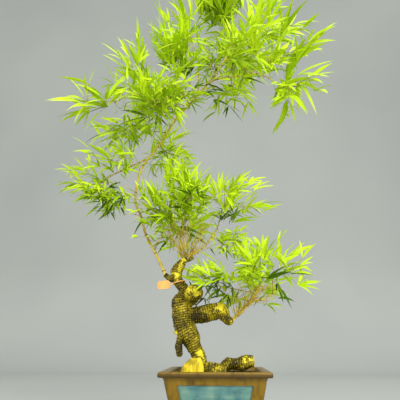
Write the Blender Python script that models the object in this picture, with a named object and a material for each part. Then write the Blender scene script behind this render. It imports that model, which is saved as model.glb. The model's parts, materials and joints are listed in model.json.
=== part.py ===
"""Potted bamboo: an old bamboo rhizome trained as a bonsai in a tapered square pot.

The origin is the centre of the pot's flat underside, +Z is up and the front panel faces -Y.
Lengths are metres. Routes and places of limbs and foliage are rows of millimetres, which MM converts.
"""

import math
import random
from collections import namedtuple

import bmesh
import bpy
from mathutils import Matrix, Vector

MM = 0.001
GAP = 0.0003

# Pot: half-widths across the flats, and heights
RIM_HALF = 0.110
RIM_TOP = 0.160
LIP_HEIGHT = 0.0105
LIP_UNDER_HALF = 0.102
WALL_TOP_HALF, WALL_TOP = 0.0976, 0.1375
WALL_FOOT_HALF, WALL_FOOT = 0.069, 0.012
PLINTH_HALF, PLINTH_HEIGHT = 0.070, 0.008
INNER_TOP_HALF, INNER_TOP = 0.0925, 0.157
INNER_FLOOR_HALF, INNER_FLOOR = 0.061, 0.016
CORNER, CORNER_STEPS = 0.006, 3
LIP_ROUND = 0.0025
THROAT = 0.001
SHOULDER_HALF, SHOULDER_HEIGHT = 0.099, 0.143
PLINTH_STEP = 0.002
NOTCH_LENGTH, NOTCH_DEPTH, NOTCH_HEIGHT = 0.070, 0.010, 0.005

# Panels, each sunk in a recess of one wall
PANEL_LOW, PANEL_HIGH = 0.030, 0.137
PANEL_POST = 0.0237
PANEL_SUNK = 0.0015
PANEL_THICK = 0.003
CUTTER_REACH = 0.010
RECESS_DEPTH = PANEL_SUNK + PANEL_THICK + GAP

# Soil
SOIL_TOP, SOIL_EDGE = 0.154, 0.150
SOIL_FLAT_HALF = 0.062
CUT_LEVEL = SOIL_TOP + GAP

# Rhizome trunk and stumps: rows of x, y, z and radius in mm
TRUNK = (
    (-24, 0, 140, 19),
    (-29, 0, 162, 15),
    (-36, 0, 186, 15.5),
    (-47, 0, 206, 17),
    (-58, 0, 227, 21.5),
    (-68, 0, 248, 23.5),
    (-73, 0, 272, 23),
    (-76, 0, 294, 22),
    (-76, 0, 309, 19),
    (-75, 0, 318, 11),
)
NECK = (
    (-62, 0, 298, 14),
    (-68, 0, 322, 12),
    (-82, 0, 343, 12.5),
    (-90, 0, 359, 12.5),
    (-87, 0, 374, 12),
    (-79, 0, 387, 10),
    (-70, 0, 401, 7),
)
KNOB = (
    (-66, 2, 300, 13),
    (-56, -12, 309, 16.5),
    (-48, -24, 315, 18.5),
    (-43, -32, 318, 17),
    (-40, -37, 320, 11),
)
ARM = ((-68, 8, 271, 15), (-42, 5, 272, 18.5), (-14, 2, 276, 17.5), (8, 0, 280, 17), (27, -2, 284, 16))
ARM_BUD = ((12, -2, 272, 10), (24, -4, 263, 10.5), (33, -4, 257, 8.5))
HANGING_STUMP = ((-64, -4, 240, 7), (-74, -8, 226, 8), (-79, -8, 208, 7.5), (-78, -8, 189, 6))
MIDDLE_RHIZOME = ((-30, -14, 160, 13), (-16, -22, 163, 12), (2, -21, 162, 12.5), (20, -18, 158, 9))
RIGHT_RHIZOME = ((12, -8, 163, 11), (30, -2, 169, 12.5), (54, 0, 173, 13), (80, 1, 174, 13))
WEDGE_PLACE = (-50, -40, 152)
WEDGE_FOOT = (29, 16)
WEDGE_RISE = 33
WEDGE_TOP_SHARE, WEDGE_TOP_SHIFT = 0.3, (12, 3)
ARM_CUT = ((24, 0, 290), (0.75, -0.25, 0.6))
TRUNK_SIDES, TRUNK_STEP = 12, 0.016
STUMP_SIDES, STUMP_STEP = 10, 0.013
BUD_STEP = 0.010
ROUND_BARK, ROUND_CANE = math.radians(40), math.radians(70)

# Canes: the culm is one smooth run cut into three, the leader goes on from it
CULM = (
    (-88, 0, 350, 7),
    (-104, 0, 353, 6.5),
    (-114, 0, 361, 5.2),
    (-121, -1, 376, 3.8),
    (-141, -5, 416, 3.5),
    (-164, -10, 459, 3.3),
    (-176, -15, 500, 3.2),
    (-191, -20, 538, 3.1),
    (-186, -30, 588, 3.0),
    (-170, -40, 629, 2.9),
    (-133, -50, 674, 2.8),
    (-96, -60, 733, 2.8),
    (-53, -70, 781, 2.7),
    (-25, -75, 815, 2.6),
)
CULM_SPLITS = (538, 733)
CANE_STEP = 0.022
CANE_SIDES = 6
Cane = namedtuple("Cane", "name parent share route radius tip_radius")
CANES = (
    Cane("leader", "culm_top", 1.0,
         ((3, -80, 847), (29, -85, 887), (44, -90, 917), (60, -97, 962)), 2.5, 1.9),
    Cane("crown_bough_left", "culm_top", 0.9, ((-33, -84, 850), (-34, -90, 900)), 2.1, 1.7),
    Cane("crown_bough_right", "leader", 0.2, ((40, -84, 845), (92, -95, 842), (128, -108, 862)), 2.2, 1.7),
    Cane("crown_bough_low", "crown_bough_right", 0.68, ((120, -102, 838), (150, -105, 812)), 1.9, 1.6),
    Cane("left_high_bough", "culm_top", 0.06,
         ((-131, -72, 765), (-168, -82, 790), (-206, -90, 800)), 2.3, 1.7),
    Cane("left_low_bough", "culm_mid", 0.47,
         ((-208, -30, 627), (-248, -22, 612), (-268, -18, 602)), 2.2, 1.7),
    Cane("pad_cane_left", "trunk", 0.985, ((-82, -2, 425), (-77, -6, 462), (-72, -10, 484)), 2.4, 1.9),
    Cane("pad_cane_right", "trunk", 1.0, ((-46, -2, 412), (-20, -4, 431), (6, -6, 466)), 2.5, 1.9),
    Cane("arm_cane", "arm_bud", 1.0, ((52, -3, 272), (69, -2, 288), (87, 0, 302)), 2.9, 2.4),
    Cane("arm_cane_up", "arm_cane", 0.93, ((97, -2, 322), (104, -4, 338)), 2.2, 1.8),
    Cane("arm_cane_right", "arm_cane", 1.0, ((106, 0, 305), (128, -2, 316)), 2.3, 1.8),
)

# Foliage: each mass keeps to its own cell round its centre, and reaches its furthest leaf tips
Mass = namedtuple("Mass", "name limb share centre radius leaf tips")
MASSES = (
    Mass("crown_top_left", "crown_bough_left", 1.0, (-60, -80, 995), 94, 94,
         ((-95, -100, 1080), (-125, -90, 1015))),
    Mass("crown_top", "leader", 1.0, (10, -60, 1090), 94, 92, ((25, -70, 1165), (95, -60, 1140))),
    Mass("crown_top_right", "leader", 0.86, (155, -90, 995), 95, 90,
         ((200, -110, 960), (165, -120, 1070))),
    Mass("crown_right_high", "crown_bough_right", 1.0, (180, -125, 870), 87, 94,
         ((275, -120, 890), (240, -90, 935))),
    Mass("crown_right_low", "crown_bough_low", 1.0, (195, -95, 795), 81, 80,
         ((270, -110, 790), (223, -110, 712))),
    Mass("crown_front", "leader", 0.1, (95, -190, 825), 82, 86, ((95, -185, 915), (135, -150, 765))),
    Mass("crown_back", "leader", 0.62, (55, 5, 1000), 112, 86, ((40, 110, 1030), (140, 40, 1010))),
    Mass("crown_mid_left", "culm_top", 0.82, (-95, -110, 900), 83, 82,
         ((-130, -115, 960), (-140, -180, 885))),
    Mass("crown_under", "crown_bough_right", 0.35, (55, -35, 830), 72, 86,
         ((-10, -55, 758), (95, 20, 800))),
    Mass("left_high", "left_high_bough", 0.6, (-185, -100, 875), 81, 90,
         ((-279, -100, 955), (-217, -100, 953), (-180, -100, 972))),
    Mass("left_far", "left_high_bough", 1.0, (-255, -90, 765), 100, 96,
         ((-418, -100, 780), (-345, -100, 828), (-362, -95, 730))),
    Mass("left_front", "culm_top", 0.3, (-145, -140, 735), 83, 82, ((-190, -215, 740),)),
    Mass("left_back", "culm_top", 0.5, (-150, 25, 855), 95, 86, ((-210, 85, 900), (-110, 60, 930))),
    Mass("left_under", "culm_mid", 0.85, (-240, -35, 740), 89, 90, ((-310, -40, 700), (-260, 50, 745))),
    Mass("culm_side", "culm_top", 0.55, (-85, -120, 797), 63, 70, ((-20, -115, 757),)),
    Mass("culm_mid_spray", "culm_mid", 0.7, (-130, 20, 680), 71, 82, ((-70, -30, 668), (-90, 30, 700))),
    Mass("left_mid_star", "left_low_bough", 0.45, (-245, -45, 630), 87, 82,
         ((-310, -50, 685), (-285, -135, 640))),
    Mass("left_mid_low", "left_low_bough", 1.0, (-290, -5, 590), 89, 72,
         ((-385, -10, 570), (-316, -10, 527), (-259, -10, 508))),
    Mass("left_mid_heart", "culm_mid", 0.06, (-250, -55, 555), 57, 66, ((-250, -40, 485),)),
    Mass("pad_left", "pad_cane_left", 0.5, (-130, -55, 515), 74, 72,
         ((-165, -30, 575), (-190, -45, 505))),
    Mass("pad_top", "pad_cane_left", 1.0, (-60, -70, 530), 80, 72, ((-55, -50, 612), (-60, -125, 540))),
    Mass("pad_right", "pad_cane_right", 1.0, (25, -20, 535), 80, 74, ((92, -20, 605), (170, -20, 530))),
    Mass("pad_back", "pad_cane_left", 0.9, (-75, 85, 490), 85, 80, ((-60, 130, 530), (20, 95, 550))),
    Mass("pad_under", "pad_cane_right", 0.78, (45, 15, 445), 62, 62, ((92, 0, 445),)),
    Mass("culm_foot_spray", "culm_low", 0.42, (-122, -50, 442), 40, 44,
         ((-100, -30, 430), (-180, -15, 440))),
    Mass("low_left", "arm_cane_up", 0.4, (-25, -15, 340), 70, 72, ((-60, -20, 372), (5, -25, 310))),
    Mass("low_top", "arm_cane_up", 1.0, (90, -50, 365), 68, 68, ((80, -50, 435), (60, -110, 385))),
    Mass("low_right", "arm_cane_right", 1.0, (135, -7, 380), 78, 76,
         ((205, -10, 412), (228, -10, 355), (169, -10, 283))),
    Mass("low_back", "arm_cane_up", 0.75, (90, 70, 330), 70, 72, ((95, 110, 360), (50, 70, 395))),
)
SEED = 50
SPRAY_SPACING = 22.5
HUB_SHARE = 0.3
AIMED_LEAF = 1.2
AIMED_SHARE = 0.8
TIP_ROOM = 0.62
SHELL = 0.62
REACH_RANGE = (0.8, 1.0)
LENGTH_RANGE = (0.85, 1.05)
FIRST_RISE, RISE_SPAN = 0.92, 1.5
TURN_JITTER = 0.25
FORWARD = 0.6
FORK_BACK = 0.6
LEAST_FORK, MOST_FORK = 0.35, 0.9
FAN_SLOTS = 2
FAN_STEP = math.radians(33)
FAN_JITTER = math.radians(3)
FAN_ROLL = math.radians(60)
FAN_BACK = 0.005
NOTCH = 0.0045
HUB_HALF = 0.0013
LEAST_LEAVES = 2
SHORTER = 0.14
DROOP = 0.08
LIFT_JITTER = 0.18
LEAF_WIDTH = 0.14
LEAF_WIDEST = 0.34
LEAF_FITS = (1.0, 0.82, 0.66, 0.5)
LEAF_FREE_FROM = 0.010
LEAF_CLEARANCE = 1.3
STEM_RADIUS, STEM_TIP_RADIUS = 0.0020, 0.0016
TWIG_RADIUS, TWIG_TIP_RADIUS = 0.0014, 0.0007
LEAST_TWIG = 0.010
LEAST_STEM = 0.014
ENVELOPE_FLATNESS = 0.92
SPACE = 0.0005
NEARBY = 0.13
GOLDEN_ANGLE = math.pi * (3 - math.sqrt(5))

# Plant label: a blank card tied round the neck
TAG_CARD = (0.029, 0.0009, 0.0185)
TAG_CORNER = 0.002
TAG_CENTRE = (-117, -8, 338)
TAG_TILT = math.radians(6)
TIE_SHARE = 0.45
TIE_THICKNESS, TIE_WIDTH = 0.0009, 0.0026
TIE_CLEARANCE = 0.0016
TIE_STEPS = 16
STRAP_ON_CARD = 0.003

COLOURS = {
    "glazed_brown": ((0.19, 0.12, 0.04), 0.38),
    "teal_glaze": ((0.20, 0.35, 0.31), 0.32),
    "soil": ((0.045, 0.028, 0.012), 0.95),
    "rhizome_bark": ((0.15, 0.12, 0.015), 0.75),
    "cut_wood": ((0.70, 0.52, 0.05), 0.6),
    "cane": ((0.62, 0.42, 0.07), 0.45),
    "leaf": ((0.30, 0.62, 0.03), 0.5),
    "tag_card": ((0.95, 0.55, 0.25), 0.8),
}


def remove_everything():
    for item in list(bpy.data.objects):
        bpy.data.objects.remove(item, do_unlink=True)


def new_collection(name, hidden=False):
    collection = bpy.data.collections.new(name)
    collection.hide_render = hidden
    bpy.context.scene.collection.children.link(collection)
    return collection


def material(name):
    """A plain Principled material with a named colour."""
    if name in bpy.data.materials:
        return bpy.data.materials[name]
    (red, green, blue), roughness = COLOURS[name]
    made = bpy.data.materials.new(name)
    made.use_nodes = True
    shader = made.node_tree.nodes["Principled BSDF"]
    shader.inputs["Base Color"].default_value = (red, green, blue, 1)
    shader.inputs["Roughness"].default_value = roughness
    shader.inputs["Metallic"].default_value = 0
    made.diffuse_color = (red, green, blue, 1)
    return made


def add_part(name, mesh, collection, finish, origin=(0, 0, 0)):
    """A named object whose mesh is given round its origin."""
    part = bpy.data.objects.new(name, mesh)
    part.location = origin
    mesh.name = name
    mesh.materials.clear()
    mesh.materials.append(material(finish))
    collection.objects.link(part)
    return part


def add_cutter(name, mesh, cutters, origin=(0, 0, 0)):
    cutter = bpy.data.objects.new(name, mesh)
    cutter.location = origin
    cutter.hide_render = True
    cutter.display_type = "WIRE"
    cutters.objects.link(cutter)
    return cutter


def combine(part, other, operation):
    boolean = part.modifiers.new(f"{operation.title()} {other.name}", "BOOLEAN")
    boolean.object = other
    boolean.operation = operation
    boolean.solver = "EXACT"


def mesh_from(bm, name):
    mesh = bpy.data.meshes.new(name)
    bm.to_mesh(mesh)
    bm.free()
    return mesh


def shade_round(mesh, angle=ROUND_BARK):
    mesh.shade_smooth()
    mesh.set_sharp_from_angle(angle=angle)


# Pot


def square_turn(profile, corner):
    """A square vessel or block: a half profile turned round Z in four steps, its upright edges rounded."""
    bm = bmesh.new()
    verts = [bm.verts.new((half * math.sqrt(2), 0, height)) for half, height in profile]
    edges = [bm.edges.new(pair) for pair in zip(verts, verts[1:])]
    bmesh.ops.spin(
        bm, geom=verts + edges, axis=(0, 0, 1), cent=(0, 0, 0), angle=math.tau, steps=4, use_merge=True
    )
    bmesh.ops.remove_doubles(bm, verts=bm.verts, dist=1e-6)
    bmesh.ops.rotate(bm, verts=bm.verts, cent=(0, 0, 0), matrix=Matrix.Rotation(math.pi / 4, 3, "Z"))
    on_axis = [v for v in bm.verts if v.co.xy.length < 1e-5]
    bmesh.ops.dissolve_verts(bm, verts=on_axis)
    upright = [e for e in bm.edges if e.verts[0].co.xy.angle(e.verts[1].co.xy) < 0.01]
    bmesh.ops.bevel(bm, geom=upright, offset=corner, segments=CORNER_STEPS, profile=0.5, affect="EDGES")
    bmesh.ops.recalc_face_normals(bm, faces=bm.faces)
    return bm


def wall_half(height):
    """Half the pot's width across the flats, at a height of its straight wall."""
    share = (height - WALL_FOOT) / (WALL_TOP - WALL_FOOT)
    return WALL_FOOT_HALF + share * (WALL_TOP_HALF - WALL_FOOT_HALF)


def wall_block(margin, outer, inner):
    """A slab lying in the front wall's slope, from one depth outside the wall's face to another inside it."""
    rise = Vector((0, wall_half(PANEL_LOW) - wall_half(PANEL_HIGH), PANEL_HIGH - PANEL_LOW)).normalized()
    outward = Vector((0, -rise.z, rise.y))
    bm = bmesh.new()
    bmesh.ops.create_cube(bm, size=2)
    for vert in bm.verts:
        height = PANEL_HIGH if vert.co.z > 0 else PANEL_LOW
        half = wall_half(height) - PANEL_POST - margin
        depth = outer if vert.co.y < 0 else -inner
        face = Vector((math.copysign(half, vert.co.x), -wall_half(height), height))
        vert.co = face + outward * depth - rise * margin * math.copysign(1, vert.co.z)
    return bm


def turned_quarter(bm, quarter):
    turn = Matrix.Rotation(quarter * math.pi / 2, 3, "Z")
    bmesh.ops.rotate(bm, verts=bm.verts, cent=(0, 0, 0), matrix=turn)
    return bm


def build_pot(parts, cutters):
    lip_low = RIM_TOP - LIP_HEIGHT
    profile = (
        (0, INNER_FLOOR),
        (INNER_FLOOR_HALF, INNER_FLOOR),
        (INNER_TOP_HALF, INNER_TOP),
        (INNER_TOP_HALF + THROAT, RIM_TOP),
        (RIM_HALF - LIP_ROUND, RIM_TOP),
        (RIM_HALF, RIM_TOP - LIP_ROUND),
        (RIM_HALF, lip_low + LIP_ROUND),
        (RIM_HALF - LIP_ROUND, lip_low),
        (LIP_UNDER_HALF, lip_low - THROAT),
        (SHOULDER_HALF, SHOULDER_HEIGHT),
        (WALL_TOP_HALF, WALL_TOP),
        (WALL_FOOT_HALF, WALL_FOOT),
        (WALL_FOOT_HALF - THROAT, PLINTH_HEIGHT + PLINTH_STEP),
        (PLINTH_HALF, PLINTH_HEIGHT),
        (PLINTH_HALF, 0),
        (0, 0),
    )
    mesh = mesh_from(square_turn(profile, CORNER), "pot")
    shade_round(mesh)
    pot = add_part("pot", mesh, parts, "glazed_brown")
    for quarter, side in enumerate(("front", "right", "back", "left")):
        recess = turned_quarter(wall_block(0, CUTTER_REACH, RECESS_DEPTH), quarter)
        cutter = add_cutter(f"recess_{side}", mesh_from(recess, f"recess_{side}"), cutters)
        combine(pot, cutter, "DIFFERENCE")
        bm = bmesh.new()
        bmesh.ops.create_cube(bm, size=1)
        bmesh.ops.scale(bm, vec=(NOTCH_LENGTH, 2 * NOTCH_DEPTH, 2 * NOTCH_HEIGHT), verts=bm.verts)
        bmesh.ops.translate(bm, vec=(0, -PLINTH_HALF, 0), verts=bm.verts)
        notch = mesh_from(turned_quarter(bm, quarter), f"notch_{side}")
        combine(pot, add_cutter(f"notch_{side}", notch, cutters), "DIFFERENCE")
        panel = turned_quarter(wall_block(GAP, -PANEL_SUNK, PANEL_SUNK + PANEL_THICK), quarter)
        add_part(f"panel_{side}", mesh_from(panel, side), parts, "teal_glaze")


def build_soil(parts):
    slope = (INNER_TOP_HALF - INNER_FLOOR_HALF) / (INNER_TOP - INNER_FLOOR)
    clear = GAP * math.sqrt(1 + slope**2)
    edge_half = INNER_FLOOR_HALF + slope * (SOIL_EDGE - INNER_FLOOR) - clear
    floor_half = INNER_FLOOR_HALF + slope * GAP - clear
    profile = (
        (0, SOIL_TOP),
        (SOIL_FLAT_HALF, SOIL_TOP),
        (edge_half, SOIL_EDGE),
        (floor_half, INNER_FLOOR + GAP),
        (0, INNER_FLOOR + GAP),
    )
    mesh = mesh_from(square_turn(profile, CORNER), "soil")
    add_part("soil", mesh, parts, "soil")


# Limbs


def smooth(route, step):
    """Rows of x, y, z and radius along a Catmull-Rom curve through a route's own rows, about a step apart."""
    rows = [Vector(row) * MM for row in route]
    rows = [2 * rows[0] - rows[1], *rows, 2 * rows[-1] - rows[-2]]
    run = []
    for before, start, end, after in zip(rows, rows[1:], rows[2:], rows[3:]):
        count = max(1, round((end - start).length / step))
        for index in range(count):
            t = index / count
            run.append(
                0.5
                * (
                    2 * start
                    + (end - before) * t
                    + (2 * before - 5 * start + 4 * end - after) * t**2
                    + (3 * start - before - 3 * end + after) * t**3
                )
            )
    run.append(rows[-2])
    return run


def tube(name, run, sides, holder, grow=0):
    """A round limb through a run's rows, as a filled curve made a mesh, its origin at its foot.

    A grown one is thicker all round and longer at both ends.
    """
    curve = bpy.data.curves.new(name, "CURVE")
    curve.dimensions = "3D"
    curve.bevel_depth = 1
    curve.bevel_resolution = sides // 2 - 2
    curve.use_fill_caps = True
    spline = curve.splines.new("POLY")
    spline.points.add(len(run) - 1)
    for point, row in zip(spline.points, run):
        point.co = (*(row.xyz - run[0].xyz), 1)
        point.radius = row.w + grow
    for end, inner in ((0, 1), (-1, -2)):
        longer = (run[end].xyz - run[inner].xyz).normalized() * grow
        spline.points[end].co = (*(run[end].xyz - run[0].xyz + longer), 1)
    guide = bpy.data.objects.new(name, curve)
    holder.objects.link(guide)
    mesh = bpy.data.meshes.new_from_object(guide.evaluated_get(bpy.context.evaluated_depsgraph_get()))
    bpy.data.objects.remove(guide, do_unlink=True)
    bpy.data.curves.remove(curve)
    bm = bmesh.new()
    bm.from_mesh(mesh)
    bpy.data.meshes.remove(mesh)
    bmesh.ops.remove_doubles(bm, verts=bm.verts, dist=1e-6)
    bmesh.ops.recalc_face_normals(bm, faces=bm.faces)
    return bm


def cut_flat(bm, place, outward):
    """Removes what lies beyond a plane and closes the flat cut."""
    everything = [*bm.verts, *bm.edges, *bm.faces]
    cut = bmesh.ops.bisect_plane(bm, geom=everything, plane_co=place, plane_no=outward, clear_outer=True)
    rim = [item for item in cut["geom_cut"] if isinstance(item, bmesh.types.BMEdge)]
    bmesh.ops.contextual_create(bm, geom=rim)
    bmesh.ops.recalc_face_normals(bm, faces=bm.faces)


def add_stump(name, run, parts, cutters, sides=STUMP_SIDES, seats=(), cuts=()):
    """A thick limb: flat cuts on it, then a saddle for each limb it is seated on."""
    origin = run[0].xyz
    bm = tube(name, run, sides, parts)
    for place, outward in cuts:
        cut_flat(bm, Vector(place) - origin, Vector(outward))
    mesh = mesh_from(bm, name)
    shade_round(mesh)
    stump = add_part(name, mesh, parts, "rhizome_bark", origin)
    for seat_name, seat_run, seat_sides in seats:
        seat = mesh_from(tube("seat", seat_run, seat_sides, cutters, grow=GAP), f"{name}_on_{seat_name}")
        combine(stump, add_cutter(f"{name}_on_{seat_name}", seat, cutters, seat_run[0].xyz), "DIFFERENCE")
    return stump


def wedge_body(grow=0):
    """A chopped root stump's body round its place: a squashed six-sided cone that leans to one side."""
    bm = bmesh.new()
    bmesh.ops.create_cone(
        bm, cap_ends=True, segments=6, radius1=1, radius2=WEDGE_TOP_SHARE, depth=WEDGE_RISE * MM + grow
    )
    for vert in bm.verts:
        for axis, (size, shift) in enumerate(zip(WEDGE_FOOT, WEDGE_TOP_SHIFT)):
            vert.co[axis] = vert.co[axis] * (size * MM + grow) + (shift * MM if vert.co.z > 0 else 0)
        vert.co.z += (WEDGE_RISE * MM + grow) / 2
    return bm


def build_wedge(parts, cutters, trunk_run):
    """The wedge, seated on the trunk. Returns the cutter that keeps its neighbours clear of it."""
    origin = Vector(WEDGE_PLACE) * MM
    bm = wedge_body()
    cut_flat(bm, (0, 0, CUT_LEVEL - origin.z), (0, 0, -1))
    wedge = add_part("root_wedge", mesh_from(bm, "root_wedge"), parts, "cut_wood", origin)
    seat = mesh_from(tube("seat", trunk_run, TRUNK_SIDES, cutters, grow=GAP), "wedge_on_trunk")
    combine(wedge, add_cutter("wedge_on_trunk", seat, cutters, trunk_run[0].xyz), "DIFFERENCE")
    return add_cutter("beside_wedge", mesh_from(wedge_body(grow=2 * GAP), "beside_wedge"), cutters, origin)


def add_cane(name, run, parts):
    mesh = mesh_from(tube(name, run, CANE_SIDES, parts), name)
    shade_round(mesh, ROUND_CANE)
    return add_part(name, mesh, parts, "cane", run[0].xyz)


def place_on(run, share):
    """The point, direction and radius of a limb, a share of the way along it."""
    lengths = [(end.xyz - start.xyz).length for start, end in zip(run, run[1:])]
    left = share * sum(lengths)
    for start, end, length in zip(run, run[1:], lengths):
        if left <= length or end is run[-1]:
            break
        left -= length
    row = start.lerp(end, min(1, left / length))
    return row.xyz, (end.xyz - start.xyz).normalized(), row.w


def root_on(run, share, toward, radius):
    """Where a limb of a given radius starts, so that it stands clear of the limb it grows on."""
    point, along, thick = place_on(run, share)
    lean = (toward - point).normalized().dot(along)
    if share == 1.0:
        return point + along * (GAP + radius * math.sqrt(1 - lean**2))
    across = (toward - point) - along * (toward - point).dot(along)
    return point + across.normalized() * (thick + GAP + radius * abs(lean))


def split_run(run, heights):
    """Cuts a run at the rows nearest to some heights, leaving a gap at each cut even where the run bends."""
    pieces, first = [], 0
    for height in heights:
        last = min(range(len(run)), key=lambda index: abs(run[index].z - height * MM))
        pieces.append(run[first : last + 1])
        first = last
    pieces.append(run[first:])
    for before, piece in zip(pieces, pieces[1:]):
        along = (piece[1].xyz - piece[0].xyz).normalized()
        lean = along.dot((before[-1].xyz - before[-2].xyz).normalized())
        start = piece[0].xyz + along * (GAP + piece[0].w * math.sqrt(1 - lean**2))
        piece[0] = Vector((*start, piece[0].w))
    return pieces


def build_limbs(parts, cutters):
    """The rhizome, its stumps and the canes. Returns each limb's run of rows by name."""
    trunk = smooth(TRUNK, TRUNK_STEP)
    neck = smooth(NECK, TRUNK_STEP)
    runs = {"trunk_foot": trunk, "trunk": neck}
    on_trunk = ("trunk", trunk, TRUNK_SIDES)
    on_neck = ("neck", neck, TRUNK_SIDES)
    level = ((0, 0, CUT_LEVEL), (0, 0, -1))
    body = add_stump("trunk", trunk, parts, cutters, TRUNK_SIDES, cuts=[level])
    neck_mesh = mesh_from(tube("neck", neck, TRUNK_SIDES, cutters), "neck")
    combine(body, add_cutter("neck", neck_mesh, cutters, neck[0].xyz), "UNION")

    arm_cut = (Vector(ARM_CUT[0]) * MM, ARM_CUT[1])
    stumps = {
        "trunk_knob": (KNOB, (on_trunk, on_neck), ()),
        "arm": (ARM, (on_trunk,), (arm_cut,)),
        "hanging_stump": (HANGING_STUMP, (on_trunk,), ()),
        "middle_rhizome": (MIDDLE_RHIZOME, (on_trunk,), (level,)),
    }
    for name, (route, seats, cuts) in stumps.items():
        runs[name] = smooth(route, STUMP_STEP)
        add_stump(name, runs[name], parts, cutters, seats=seats, cuts=cuts)
    runs["arm_bud"] = smooth(ARM_BUD, BUD_STEP)
    add_stump("arm_bud", runs["arm_bud"], parts, cutters, seats=[("arm", runs["arm"], STUMP_SIDES)])
    runs["right_rhizome"] = smooth(RIGHT_RHIZOME, STUMP_STEP)
    on_middle = ("middle", runs["middle_rhizome"], STUMP_SIDES)
    add_stump("right_rhizome", runs["right_rhizome"], parts, cutters, seats=[on_middle], cuts=[level])
    combine(bpy.data.objects["middle_rhizome"], build_wedge(parts, cutters, trunk), "DIFFERENCE")

    names = ("culm_low", "culm_mid", "culm_top")
    for name, run in zip(names, split_run(smooth(CULM, CANE_STEP), CULM_SPLITS)):
        runs[name] = run
        cane = add_cane(name, run, parts)
        if name == "culm_low":
            seat = mesh_from(tube("seat", neck, TRUNK_SIDES, cutters, grow=GAP), "culm_on_neck")
            combine(cane, add_cutter("culm_on_neck", seat, cutters, neck[0].xyz), "DIFFERENCE")
    for cane in CANES:
        root = root_on(runs[cane.parent], cane.share, Vector(cane.route[0]) * MM, cane.radius * MM)
        places = [root / MM, *(Vector(row) for row in cane.route)]
        taper = (cane.tip_radius - cane.radius) / len(cane.route)
        radii = [cane.radius + taper * index for index in range(len(places))]
        runs[cane.name] = smooth([(*place, radius) for place, radius in zip(places, radii)], CANE_STEP)
        add_cane(cane.name, runs[cane.name], parts)
    return runs


# Plant label


def build_tag(parts, runs):
    """A blank card on a strap that ends in a loop round the trunk's neck."""
    point, along, thick = place_on(runs["trunk"], TIE_SHARE)
    centre = Vector(TAG_CENTRE) * MM
    anchor = centre + Vector((TAG_CARD[0] / 2 - STRAP_ON_CARD, 0, 0))
    upright = (along + Vector((0, 0, 1))).normalized()
    aside = (anchor - point - upright * (anchor - point).dot(upright)).normalized()
    inner, half = thick + TIE_CLEARANCE, TIE_WIDTH / 2
    outer = inner + TIE_THICKNESS
    corners = ((inner, 0, -half), (outer, 0, -half), (outer, 0, half), (inner, 0, half))
    bm = bmesh.new()
    verts = [bm.verts.new(corner) for corner in corners]
    edges = [bm.edges.new(pair) for pair in zip(verts, verts[1:] + verts[:1])]
    swept = verts + edges
    bmesh.ops.spin(
        bm, geom=swept, axis=(0, 0, 1), cent=(0, 0, 0), angle=math.tau, steps=TIE_STEPS, use_merge=True
    )
    bmesh.ops.remove_doubles(bm, verts=bm.verts, dist=1e-6)
    bmesh.ops.recalc_face_normals(bm, faces=bm.faces)
    loop_frame = Matrix((aside, upright.cross(aside), upright)).transposed()
    bmesh.ops.rotate(bm, verts=bm.verts, cent=(0, 0, 0), matrix=loop_frame)
    tag = add_part("tag", mesh_from(bm, "tag"), parts, "tag_card", point)

    start = point + aside * (inner + TIE_THICKNESS / 2)
    ahead = (anchor - start).normalized()
    flat = ahead.cross(upright).normalized()
    bm = bmesh.new()
    bmesh.ops.create_cube(bm, size=1)
    bmesh.ops.scale(bm, vec=((anchor - start).length, TIE_THICKNESS, TIE_WIDTH), verts=bm.verts)
    strap_frame = Matrix((ahead, -flat, ahead.cross(-flat))).transposed()
    bmesh.ops.rotate(bm, verts=bm.verts, cent=(0, 0, 0), matrix=strap_frame)
    strap = add_part("strap", mesh_from(bm, "strap"), parts, "tag_card", (start + anchor) / 2)

    bm = bmesh.new()
    bmesh.ops.create_cube(bm, size=1)
    bmesh.ops.scale(bm, vec=TAG_CARD, verts=bm.verts)
    across = [e for e in bm.edges if abs(e.verts[0].co.y - e.verts[1].co.y) > TAG_CARD[1] / 2]
    bmesh.ops.bevel(bm, geom=across, offset=TAG_CORNER, segments=2, profile=0.5, affect="EDGES")
    bmesh.ops.rotate(bm, verts=bm.verts, cent=(0, 0, 0), matrix=Matrix.Rotation(-TAG_TILT, 3, "Y"))
    card = add_part("card", mesh_from(bm, "card"), parts, "tag_card", centre)
    for piece in (strap, card):
        combine(tag, piece, "UNION")
    apply_modifiers(tag)
    for piece in (strap, card):
        bpy.data.objects.remove(piece, do_unlink=True)


def apply_modifiers(part):
    """Replaces an object's mesh by its evaluated one."""
    bpy.context.view_layer.update()
    mesh = bpy.data.meshes.new_from_object(part.evaluated_get(bpy.context.evaluated_depsgraph_get()))
    part.modifiers.clear()
    part.data = mesh
    mesh.name = part.name


# Foliage


def segment_gap(a, b, c, d):
    """The shortest distance between the straight stretches a-b and c-d."""
    u, v, w = b - a, d - c, a - c
    uu, uv, vv, uw, vw = u.dot(u), u.dot(v), v.dot(v), u.dot(w), v.dot(w)
    span = uu * vv - uv * uv
    s = min(1, max(0, (uv * vw - vv * uw) / span)) if span > 1e-15 else 0
    t = min(1, max(0, (uv * s + vw) / vv))
    s = min(1, max(0, (uv * t - uw) / uu))
    return (w + u * s - v * t).length


def stem_of(mass, runs):
    """A mass's stem, from its limb to the hub that its shoots spread from."""
    centre = Vector(mass.centre) * MM
    root = root_on(runs[mass.limb], mass.share, centre, STEM_RADIUS)
    hub = centre.lerp(root, HUB_SHARE)
    if (hub - root).length < LEAST_STEM:
        hub = root + (centre - root).normalized() * LEAST_STEM
    return root, hub


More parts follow.
